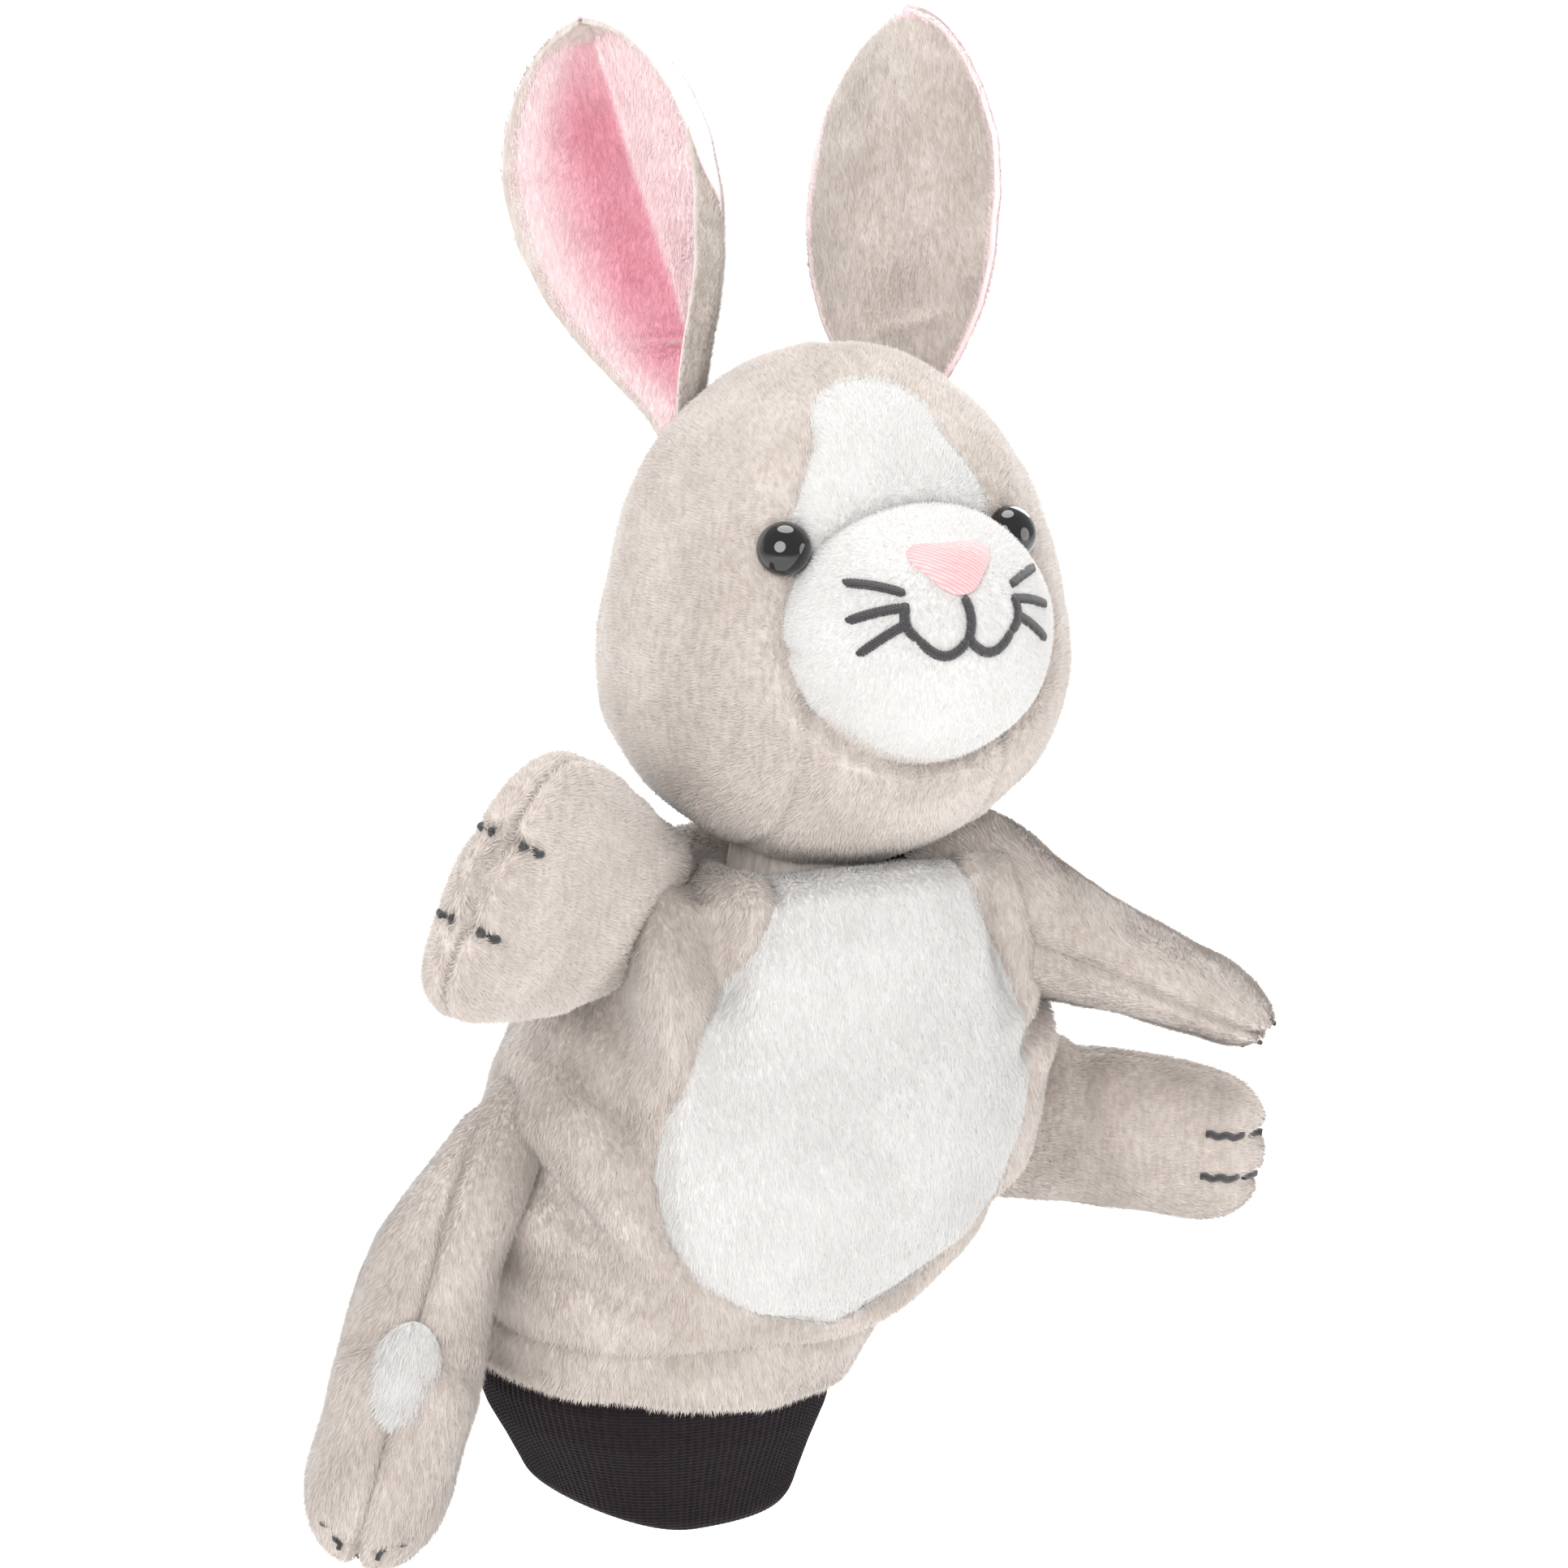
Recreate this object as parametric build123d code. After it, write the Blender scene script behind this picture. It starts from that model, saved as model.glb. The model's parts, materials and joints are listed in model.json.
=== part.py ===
from build123d import *
import math
import os

# Plush rabbit glove puppet. Millimetres, +Z up, the face looks along -Y, the puppet's left is +X.
# The origin is the centre of the wrist opening, at the hem of the knitted cuff.
# Soft pieces are plain closed solids of the right size; the plush cloth has one wall thickness.

os.makedirs("parts", exist_ok=True)

# ---- driving dimensions -------------------------------------------------------------------------
PLUSH = 2.2                 # plush cloth with its pile
SEAM_GAP = 0.3              # between a filling and the cloth round it
JOINT_GAP = 0.6             # between pieces that move on each other

HEM_BORE = 25.0             # radius of the wrist opening
HEM_LENGTH = 9.0            # straight part of the opening
CUFF_WALL = 2.0
WRIST_Z = 27.0              # centre of the ball that the body turns on at the wrist
WRIST_BALL = 34.0           # radius of the cuff's stretched upper part
CUFF_FLARE = 14.0           # height where the cuff's flare meets the ball
CUFF_TOP = 37.0             # the cuff's tucked-in upper edge
BAND_BOTTOM = 24.0          # the band's edge over the cuff

TORSO_BOTTOM = 40.0
TORSO_TOP = 128.0
TORSO_SECTIONS = (          # height, centre x, centre y, half width, half depth
    (TORSO_BOTTOM, 8.0, -3.0, 43.0, 37.0),
    (56.0, 14.0, -4.0, 52.0, 40.0),
    (80.0, 19.0, -6.0, 54.0, 39.0),
    (106.0, 22.0, -8.0, 44.0, 33.0),
    (TORSO_TOP, 25.0, -10.0, 30.0, 23.0),
)
TORSO_SPLIT_X = 25.0        # seam line between the left and right panels
TORSO_SPLIT_Y = -6.0        # side seams
BELLY_LOW = (25.0, 84.0, 37.0)     # x, z and radius of the belly panel's wide end
BELLY_HIGH = (28.0, 113.0, 22.0)   # and of its narrow end

HEAD_X, HEAD_Y = 32.0, -12.0
HEAD_WAIST = 170.0          # height of the head's widest level
HEAD_RADIUS = 44.0
HEAD_CROWN = 60.0           # from the widest level up to the crown
HEAD_CHIN = 39.5            # and down to the chin
CROWN_ARC, CHIN_ARC = 32.0, 48.0   # radii over the crown and under the chin
SEAM_TURN = 37.0            # keeps the form's own closing line off the panels' seams
EAR_SEAM_BACK = 16.0        # the seam that holds the ears, behind the head's middle

NECK_X, NECK_Y, NECK_Z = 28.0, -10.5, 136.0
NECK_RADIUS = 13.0
FINGER_BORE = 8.5
TUBE_WALL = 1.6
TUBE_TOP = 198.0

MUZZLE_RADIUS = 26.0
MUZZLE_FORWARD = HEAD_RADIUS - 13.0    # of the muzzle's centre, in front of the head's middle
MUZZLE_RISE = 9.0           # above the head's widest level
NOSE_RISE = 16.0            # above the muzzle's centre
THREAD = 0.7                # how proud the embroidery stands
STITCH = 1.3                # width of a row of thread

EYE_RADIUS = 5.0
EYE_SIDE, EYE_FORWARD = 23.0, HEAD_RADIUS - 13.0
STEM_RADIUS = 1.5
STEM_LENGTH = 9.0
WASHER_RADIUS, WASHER_THICK = 6.0, 1.2
WASHER_DEPTH = PLUSH + 1.4    # from the face's surface to the washer's middle, where the face curves

EAR_LENGTH = 76.0
EAR_HALF_WIDTH = 22.0
EAR_CUP = 26.0              # radius of the ear's hollow
EAR_BACK_WALL, EAR_LINING_WALL = 1.8, 1.5
EAR_ROOT = 4.2              # radius of the gathered root
EAR_SIDE, EAR_BEHIND = 21.0, 20.0

ARM_LENGTH, ARM_ROOT_RADIUS, ARM_TIP_RADIUS, ARM_THICK = 62.0, 9.0, 21.0, 14.0
LEG_LENGTH, LEG_ROOT_RADIUS, LEG_TIP_RADIUS, LEG_THICK = 74.0, 11.0, 15.0, 20.0
LIMB_EDGE = 4.0             # rounding of a limb's edges
ROOT_START = 6.0            # from the pivot to the near end of a limb
SLEEVE_RADIUS, SLEEVE_BORE = 8.0, 4.6
HIP_RADIUS = 10.0
TOE_STITCH = 9.0

SIDES = {"right": -1, "left": 1}
# A limb's pivot, the way it points, and the way its broad side's width runs.
ARMS = {
    "right": ((-15.0, -15.0, 119.0), (-0.59, -0.70, 0.39), (0.4, 0.15, 0.9)),
    "left": ((62.5, -13.0, 118.0), (0.89, -0.12, -0.44), (-0.3, -0.95, 0.0)),
}
LEGS = {
    "right": ((-45.5, -15.0, 76.0), (-0.36, -0.22, -0.90), (-0.36, -0.9, 0.2)),
    "left": ((65.5, 25.5, 67.0), (0.86, -0.46, -0.14), (0.1, 0.0, 1.0)),
}
EARS = {
    "right": ((-0.16, 0.22, 0.96), (-0.80, -0.60, 0.0)),
    "left": ((0.12, 0.24, 0.96), (0.93, 0.36, 0.0)),
}


# ---- helpers ------------------------------------------------------------------------------------
def save(shape, name):
    """Write one node."""
    export_step(shape, f"parts/{name}.step")


def half_space(x=None, y=None, z=None, side=1, size=600.0):
    """A big box on one side of a plane across X, Y or Z."""
    at = [0.0, 0.0, 0.0]
    for axis, value in enumerate((x, y, z)):
        if value is not None:
            at[axis] = value + side * size / 2
    return Pos(*at) * Box(size, size, size)


def limb_plane(pivot, along, across):
    """Local frame of a limb: x along it, y across its broad side, z through its thickness."""
    x_dir = Vector(*along).normalized()
    normal = x_dir.cross(Vector(*across)).normalized()
    return Plane(origin=pivot, x_dir=x_dir, z_dir=normal)


def oval_side(width, height, cap):
    """The side arc of an oval: how far its centre lies along the width, and its radius."""
    lift = height - cap
    shift = (width ** 2 - 2 * width * cap + cap ** 2 - lift ** 2) / (2 * (width - cap))
    return shift, width - shift


def oval_quarter(width, height, cap):
    """A quarter of an oval as two tangent arcs: a side arc, and a cap arc of the given radius."""
    lift = height - cap
    shift, side_radius = oval_side(width, height, cap)
    tangent = Vector(-shift, lift).normalized() * (1 if cap < side_radius else -1)
    joint = (tangent.X * cap, lift + tangent.Y * cap)
    half_turn = math.atan2(joint[1], joint[0] - shift) / 2
    side_mid = (shift + side_radius * math.cos(half_turn), side_radius * math.sin(half_turn))
    lean = math.atan2(joint[0], joint[1] - lift) / 2
    cap_mid = (cap * math.sin(lean), lift + cap * math.cos(lean))
    return (width, 0), side_mid, joint, cap_mid, (0, height)


def crown_point(side, behind):
    """A place on the head's surface above its widest level, and the way out from it."""
    reach = math.hypot(side, behind)
    shift, side_radius = oval_side(HEAD_RADIUS, HEAD_CROWN, CROWN_ARC)
    rise = math.sqrt(side_radius ** 2 - (reach - shift) ** 2)
    spread = (reach - shift) / reach
    outward = Vector(side * spread, behind * spread, rise).normalized()
    return Vector(HEAD_X + side, HEAD_Y + behind, HEAD_WAIST + rise), outward


def egg(extra=0.0):
    """The head's outer form, grown or shrunk by extra."""
    radius = HEAD_RADIUS + extra
    arcs = []
    for height, cap, way in ((HEAD_CROWN, CROWN_ARC, 1), (HEAD_CHIN, CHIN_ARC, -1)):
        points = oval_quarter(radius, height + extra, cap + extra)
        start, side_mid, joint, cap_mid, pole = [(x, way * z) for x, z in points]
        arcs += [ThreePointArc(start, side_mid, joint), ThreePointArc(joint, cap_mid, pole)]
    arcs.append(Line((0, HEAD_CROWN + extra), (0, -HEAD_CHIN - extra)))
    profile = make_face(Curve() + arcs)
    return Pos(HEAD_X, HEAD_Y, HEAD_WAIST) * Rot(0, 0, SEAM_TURN) * revolve(Plane.XZ * profile, Axis.Z)


def front_prism(sketch, depth=80.0):
    """A sketch drawn in X and Z, carried forward along -Y from the head's or body's middle."""
    return extrude(Plane.XZ * sketch, depth)


# ---- cuff and band ------------------------------------------------------------------------------
def ball(radius, at):
    return Pos(*at) * Sphere(radius)


def make_cuff():
    """Ribbed cuff: straight at the hem, flaring to a ball-shaped upper part, open right through."""
    walls = []
    for inset in (0.0, CUFF_WALL):
        ball_radius = WRIST_BALL - inset
        straight = HEM_BORE + CUFF_WALL - inset

        def ball_width(height):
            return math.sqrt(ball_radius ** 2 - (height - WRIST_Z) ** 2)

        path = Polyline((0, CUFF_TOP), (0, 0), (straight, 0), (straight, HEM_LENGTH),
                        (ball_width(CUFF_FLARE), CUFF_FLARE))
        bulge = ThreePointArc((ball_width(CUFF_FLARE), CUFF_FLARE), (ball_radius, WRIST_Z),
                              (ball_width(CUFF_TOP), CUFF_TOP))
        top = Line((ball_width(CUFF_TOP), CUFF_TOP), (0, CUFF_TOP))
        walls.append(revolve(Plane.XZ * make_face(path + bulge + top), Axis.Z))
    return walls[0] - walls[1]


def make_band():
    """Plush band: it hangs over the cuff's upper part and is sewn to the body's lower edge."""
    edge_radius = WRIST_BALL + JOINT_GAP + PLUSH
    top_height, top_x, top_y, half_width, half_depth = TORSO_SECTIONS[0]
    walls = []
    for inset in (0.0, PLUSH):
        low = Pos(0, 0, BAND_BOTTOM) * Circle(edge_radius - inset)
        high = Pos(top_x, top_y, top_height) * Ellipse(half_width - inset, half_depth - inset)
        walls.append(loft([low, high]))
    return walls[0] - walls[1] - ball(WRIST_BALL + JOINT_GAP, (0, 0, WRIST_Z))


save(make_cuff(), "wrist_cuff")
save(make_band(), "lower_band")


# ---- torso --------------------------------------------------------------------------------------
def torso_solid(inset=0.0):
    """The body's form: ellipses lofted up a leaning centre line."""
    rings = []
    for height, x, y, half_width, half_depth in TORSO_SECTIONS:
        level = min(height, TORSO_TOP - inset)
        rings.append(Pos(x, y, level) * Ellipse(half_width - inset, half_depth - inset))
    return loft(rings)


neck_at = (NECK_X, NECK_Y, NECK_Z)
wrist_at = (0, 0, WRIST_Z)
torso_shell = torso_solid() - torso_solid(PLUSH)
torso_shell -= ball(NECK_RADIUS + JOINT_GAP, neck_at) + ball(WRIST_BALL + JOINT_GAP, wrist_at)
for pivot, along, across in ARMS.values():
    torso_shell -= ball(SLEEVE_RADIUS + JOINT_GAP, pivot)
for pivot, along, across in LEGS.values():
    torso_shell -= ball(HIP_RADIUS + JOINT_GAP, pivot)

low_x, low_z, low_radius = BELLY_LOW
high_x, high_z, high_radius = BELLY_HIGH
belly_ends = Sketch() + Pos(low_x, low_z) * Circle(low_radius) + Pos(high_x, high_z) * Circle(high_radius)
belly_prism = front_prism(make_hull(belly_ends.edges()))
front = torso_shell & half_space(y=TORSO_SPLIT_Y, side=-1)
save(torso_shell & half_space(y=TORSO_SPLIT_Y, side=1), "body_back_panel")
save(front & belly_prism, "belly_panel")
for side, sign in SIDES.items():
    save((front - belly_prism) & half_space(x=TORSO_SPLIT_X, side=sign), f"body_front_{side}_panel")

# ---- neck ---------------------------------------------------------------------------------------
neck_sleeve = ball(NECK_RADIUS, neck_at) - Pos(*neck_at) * Cylinder(FINGER_BORE, 4 * NECK_RADIUS)
save(neck_sleeve, "neck_sleeve")
neck_room = ball(NECK_RADIUS + JOINT_GAP, neck_at)

# ---- head ---------------------------------------------------------------------------------------
muzzle_at = (HEAD_X, HEAD_Y - MUZZLE_FORWARD, HEAD_WAIST + MUZZLE_RISE)
muzzle_x, muzzle_y, muzzle_z = muzzle_at
eyes = {}
for side, sign in SIDES.items():
    place, outward = crown_point(sign * EYE_SIDE, -EYE_FORWARD)
    eyes[side] = Plane(origin=place, z_dir=outward)

head_outer, head_inner = egg(), egg(-PLUSH)
head_shell = head_outer - head_inner - neck_room - ball(MUZZLE_RADIUS, muzzle_at)
for eye in eyes.values():
    head_shell -= eye.location * Cylinder(STEM_RADIUS, 3 * STEM_LENGTH)

BLAZE_TOP_RADIUS, BLAZE_BOTTOM_RADIUS = 8.0, 13.0
BLAZE_TOP, BLAZE_BOTTOM = HEAD_WAIST + 46.0, HEAD_WAIST + 24.0
blaze_ends = (Sketch() + Pos(HEAD_X, BLAZE_TOP) * Circle(BLAZE_TOP_RADIUS)
              + Pos(HEAD_X, BLAZE_BOTTOM) * Circle(BLAZE_BOTTOM_RADIUS))
blaze_prism = front_prism(make_hull(blaze_ends.edges()))
ear_seam = HEAD_Y + EAR_SEAM_BACK
face = head_shell & half_space(y=ear_seam, side=-1)
save(face & blaze_prism, "forehead_blaze")
for side, sign in SIDES.items():
    half = half_space(x=HEAD_X, side=sign)
    save((face - blaze_prism) & half, f"face_{side}_panel")
    save(head_shell & half_space(y=ear_seam, side=1) & half, f"head_back_{side}_panel")

tube_radius = FINGER_BORE + TUBE_WALL
tube_bottom = NECK_Z + NECK_RADIUS + JOINT_GAP
tube_height = TUBE_TOP - tube_bottom
tube = Pos(NECK_X, NECK_Y, tube_bottom + tube_height / 2) * Cylinder(tube_radius, tube_height)
tube -= Pos(NECK_X, NECK_Y, tube_bottom + tube_height / 2 - TUBE_WALL) * Cylinder(FINGER_BORE, tube_height)
save(tube, "head_finger_tube")

filling = egg(-PLUSH - SEAM_GAP)
filling -= Pos(NECK_X, NECK_Y, TUBE_TOP / 2 + SEAM_GAP) * Cylinder(tube_radius + SEAM_GAP, TUBE_TOP)
filling -= neck_room
muzzle_ball = ball(MUZZLE_RADIUS, muzzle_at)
for side, eye in eyes.items():
    room = Pos(0, 0, -STEM_LENGTH / 2) * Cylinder(WASHER_RADIUS + SEAM_GAP, STEM_LENGTH)
    filling -= eye.location * room
    dome = eye.location * Sphere(EYE_RADIUS) - head_outer - muzzle_ball
    stem_radius = STEM_RADIUS - 0.1
    stem = eye.location * (Pos(0, 0, -STEM_LENGTH / 2 + 1) * Cylinder(stem_radius, STEM_LENGTH))
    save(dome + stem, f"eye_{side}")
    ring = Cylinder(WASHER_RADIUS, WASHER_THICK) - Cylinder(STEM_RADIUS, 2 * WASHER_THICK)
    washer = eye.location * (Pos(0, 0, -WASHER_DEPTH) * ring)
    save(washer - muzzle_ball, f"eye_washer_{side}")
save(filling, "head_filling")

# ---- muzzle, nose, mouth and whiskers -----------------------------------------------------------
muzzle_skin = ball(MUZZLE_RADIUS, muzzle_at) - ball(MUZZLE_RADIUS - PLUSH, muzzle_at) - head_inner
save(muzzle_skin, "muzzle_cover")
save(ball(MUZZLE_RADIUS - PLUSH - SEAM_GAP, muzzle_at) - head_inner, "muzzle_filling")
thread_layer = ball(MUZZLE_RADIUS + THREAD, muzzle_at) - ball(MUZZLE_RADIUS, muzzle_at)
thread_layer &= half_space(y=muzzle_y, side=-1)


def embroider(sketch):
    """Carry a sketch forward from the muzzle's middle and keep what lies in the thread's layer."""
    return (Pos(0, muzzle_y, 0) * front_prism(sketch)) & thread_layer


def at_muzzle(side, rise):
    return (muzzle_x + side, muzzle_z + rise)


NOSE_WIDTH, NOSE_HEIGHT = 15.0, 10.0
nose = Polyline(at_muzzle(-NOSE_WIDTH / 2, NOSE_RISE - 1), at_muzzle(0, NOSE_RISE + 2),
                at_muzzle(NOSE_WIDTH / 2, NOSE_RISE - 1), at_muzzle(0, NOSE_RISE - NOSE_HEIGHT + 2), close=True)
nose_face = make_face(nose)
save(embroider(fillet(nose_face.vertices(), 1.8)), "nose_embroidery")

LIP_WIDTH, LIP_TOP, LIP_LOW = 10.0, 0.0, -3.5
philtrum = Line(at_muzzle(0, NOSE_RISE - NOSE_HEIGHT + 1), at_muzzle(0, LIP_TOP))
mouth = trace(philtrum, STITCH)
for sign in SIDES.values():
    lip = ThreePointArc(at_muzzle(0, LIP_TOP), at_muzzle(sign * LIP_WIDTH / 2, LIP_LOW),
                        at_muzzle(sign * LIP_WIDTH, LIP_TOP))
    mouth += trace(lip, STITCH)
save(embroider(mouth), "mouth_embroidery")

WHISKER_NEAR, WHISKER_FAR = 11.0, 20.0
for side, sign in SIDES.items():
    whiskers = Sketch()
    for row in (-1, 0, 1):
        near = at_muzzle(sign * WHISKER_NEAR, 6 + 2.5 * row)
        far = at_muzzle(sign * WHISKER_FAR, 5 + 6.0 * row)
        whiskers += trace(Line(near, far), STITCH)
    save(embroider(whiskers), f"whiskers_{side}")


# ---- ears ---------------------------------------------------------------------------------------
def make_ear(side, sign):
    """A leaf cut from a trough: grey back with its gathered root, and a pink lining inside it."""
    along, opening = EARS[side]
    surface, outward = crown_point(sign * EAR_SIDE, EAR_BEHIND)
    root_at = surface + outward * (EAR_ROOT + SEAM_GAP)
    x_dir = Vector(*along).normalized()
    z_dir = (Vector(*opening) - x_dir * Vector(*opening).dot(x_dir)).normalized()
    place = Plane(origin=root_at, x_dir=x_dir, z_dir=z_dir).location
    ends = (Sketch() + Pos(8, 0) * Circle(9) + Pos(0.5 * EAR_LENGTH, 0) * Circle(EAR_HALF_WIDTH)
            + Pos(EAR_LENGTH - 18, 0) * Circle(14.5) + Pos(EAR_LENGTH - 7, 0) * Circle(7))
    leaf = extrude(make_hull(ends.edges()), EAR_CUP - 1)

    def trough(outer, inner):
        along_x = Rot(0, 90, 0)
        tube = along_x * Cylinder(outer, 4 * EAR_LENGTH) - along_x * Cylinder(inner, 5 * EAR_LENGTH)
        return Pos(0, 0, EAR_CUP) * tube

    clear_head = egg(3.5)
    root = place * Sphere(EAR_ROOT)
    back = place * (Pos(0, 0, -EAR_BACK_WALL) * extrude(make_hull(ends.edges()), EAR_CUP)
                    & trough(EAR_CUP + EAR_BACK_WALL, EAR_CUP)) - clear_head + root
    lining = place * (leaf & trough(EAR_CUP - 0.05, EAR_CUP - EAR_LINING_WALL)) - clear_head
    lining -= place * Sphere(EAR_ROOT + 0.05)
    save(back, f"ear_{side}_back")
    save(lining, f"ear_{side}_lining")
    return root_at


for side, sign in SIDES.items():
    root_at = make_ear(side, sign)
    print("ear", side, [round(v, 2) for v in root_at])


# ---- arms and legs ------------------------------------------------------------------------------
def limb_outline(length, root_radius, tip_radius, inset=0.0):
    """Two circles and their tangents, from just past the pivot to the tip."""
    ends = (Sketch() + Pos(root_radius + ROOT_START, 0) * Circle(root_radius - inset)
            + Pos(length - tip_radius, 0) * Circle(tip_radius - inset))
    return make_hull(ends.edges())


def limb_solid(length, root_radius, tip_radius, thick, inset=0.0, edge=0.0):
    half = thick / 2 - inset
    outline = limb_outline(length, root_radius, tip_radius, inset)
    body = extrude(outline, half, both=True)
    return fillet(body.edges(), edge) if edge else body


def toe_stitches(length, thick):
    """Two short rows of thread on each broad side, which part the paw into three toes."""
    rows = Part()
    for face_side in (-1, 1):
        for across in (-1, 1):
            rows += Pos(length - LIMB_EDGE - TOE_STITCH / 2 - 1, across * 5.0,
                        face_side * (thick / 2 + THREAD / 2)) * Box(TOE_STITCH, STITCH, THREAD)
    return rows


for side in SIDES:
    pivot, along, across = ARMS[side]
    frame = limb_plane(pivot, along, across).location
    sizes = (ARM_LENGTH, ARM_ROOT_RADIUS, ARM_TIP_RADIUS, ARM_THICK)
    shell = limb_solid(*sizes, edge=LIMB_EDGE) - limb_solid(*sizes, inset=PLUSH)
    mouth_width = 2 * (ARM_ROOT_RADIUS - PLUSH - 2)
    shell -= Pos(ARM_ROOT_RADIUS / 2, 0, 0) * Box(ARM_ROOT_RADIUS + 4, mouth_width, ARM_THICK - 2 * PLUSH)
    shell -= Sphere(SLEEVE_RADIUS + JOINT_GAP)
    save(frame * (shell & half_space(z=0, side=1)), f"arm_{side}_upper_panel")
    save(frame * (shell & half_space(z=0, side=-1)), f"arm_{side}_lower_panel")
    save(frame * toe_stitches(ARM_LENGTH, ARM_THICK), f"arm_{side}_toe_stitches")
    sleeve = Sphere(SLEEVE_RADIUS) - Rot(0, 90, 0) * Cylinder(SLEEVE_BORE, 4 * SLEEVE_RADIUS)
    save(frame * sleeve, f"arm_{side}_sleeve")

SOLE_LENGTH, SOLE_WIDTH, SOLE_THICK = 20.0, 14.0, 1.4
for side in SIDES:
    pivot, along, across = LEGS[side]
    frame = limb_plane(pivot, along, across).location
    sizes = (LEG_LENGTH, LEG_ROOT_RADIUS, LEG_TIP_RADIUS, LEG_THICK)
    hip = Sphere(HIP_RADIUS)
    inner = limb_solid(*sizes, inset=PLUSH)
    shell = limb_solid(*sizes, edge=LIMB_EDGE) - inner + (hip & half_space(x=LEG_ROOT_RADIUS, side=-1))
    save(frame * (shell & half_space(z=0, side=1)), f"leg_{side}_upper_panel")
    save(frame * (shell & half_space(z=0, side=-1)), f"leg_{side}_lower_panel")
    save(frame * (limb_solid(*sizes, inset=PLUSH + SEAM_GAP) - hip), f"leg_{side}_filling")
    save(frame * toe_stitches(LEG_LENGTH, LEG_THICK), f"leg_{side}_toe_stitches")
    sole_at = Pos(LEG_LENGTH - LEG_TIP_RADIUS - 2, LEG_TIP_RADIUS + 0.1, 0) * Rot(-90, 0, 0)
    sole = sole_at * extrude(Ellipse(SOLE_LENGTH / 2, SOLE_WIDTH / 2), SOLE_THICK)
    save(frame * sole, f"leg_{side}_sole_patch")
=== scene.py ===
import json
import math

import bpy
import numpy as np
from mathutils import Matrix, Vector


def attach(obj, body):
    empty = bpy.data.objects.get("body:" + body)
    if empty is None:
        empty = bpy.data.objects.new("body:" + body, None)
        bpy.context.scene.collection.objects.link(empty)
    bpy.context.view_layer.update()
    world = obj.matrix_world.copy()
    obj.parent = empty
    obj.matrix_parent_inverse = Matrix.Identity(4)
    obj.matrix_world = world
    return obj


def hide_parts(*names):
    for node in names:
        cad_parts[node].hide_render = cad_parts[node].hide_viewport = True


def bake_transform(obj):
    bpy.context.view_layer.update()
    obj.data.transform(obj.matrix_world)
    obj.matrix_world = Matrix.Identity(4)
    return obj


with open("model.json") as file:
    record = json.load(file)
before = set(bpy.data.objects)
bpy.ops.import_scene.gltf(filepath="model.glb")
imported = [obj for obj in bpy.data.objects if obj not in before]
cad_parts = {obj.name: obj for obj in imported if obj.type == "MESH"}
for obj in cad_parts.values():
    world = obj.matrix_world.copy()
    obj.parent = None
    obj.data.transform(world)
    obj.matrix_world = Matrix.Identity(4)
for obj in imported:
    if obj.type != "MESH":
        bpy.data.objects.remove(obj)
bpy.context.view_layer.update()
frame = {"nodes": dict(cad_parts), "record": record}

# Plush rabbit glove puppet: the looks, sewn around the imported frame.
# Shapes are worked out in millimetres in the frame's axes and written to the meshes in metres.

MM = 0.001
SIDES = {"right": -1, "left": 1}
JOINTS = {joint["name"]: joint for joint in frame["record"]["behaviour"]["joints"]}


def link_new(name, data):
    """A new object in the scene that shows this data."""
    made = bpy.data.objects.new(name, data)
    bpy.context.collection.objects.link(made)
    return made


def shade_smooth(mesh):
    mesh.polygons.foreach_set("use_smooth", [True] * len(mesh.polygons))


# ---- camera, light and floor --------------------------------------------------------------------
def make_camera():
    """Stands off the puppet's right front, a little above its head."""
    turn, tilt, distance = math.radians(22.0), math.radians(13.35), 0.88
    target = Vector((0.0268, 0.0, 0.1421))
    level = math.cos(tilt)
    away = Vector((-math.sin(turn) * level, -math.cos(turn) * level, math.sin(tilt)))
    data = bpy.data.cameras.new("camera")
    data.lens, data.sensor_width = 103.0, 36.0
    camera = link_new("camera", data)
    camera.location = target + away * distance
    camera.rotation_euler = (-away).to_track_quat("-Z", "Y").to_euler()
    bpy.context.scene.camera = camera


def make_light(name, spot, size, power):
    data = bpy.data.lights.new(name, "AREA")
    data.shape, data.size, data.energy = "DISK", size, power
    lamp = link_new(name, data)
    lamp.location = spot
    lamp.rotation_euler = (Vector((0.02, 0.0, 0.14)) - Vector(spot)).to_track_quat("-Z", "Y").to_euler()


def set_finish(shader, **finish):
    """Set the shader's own sockets; a name's underscores stand for spaces."""
    for name, value in finish.items():
        shader.inputs[name.replace("_", " ")].default_value = value


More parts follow.
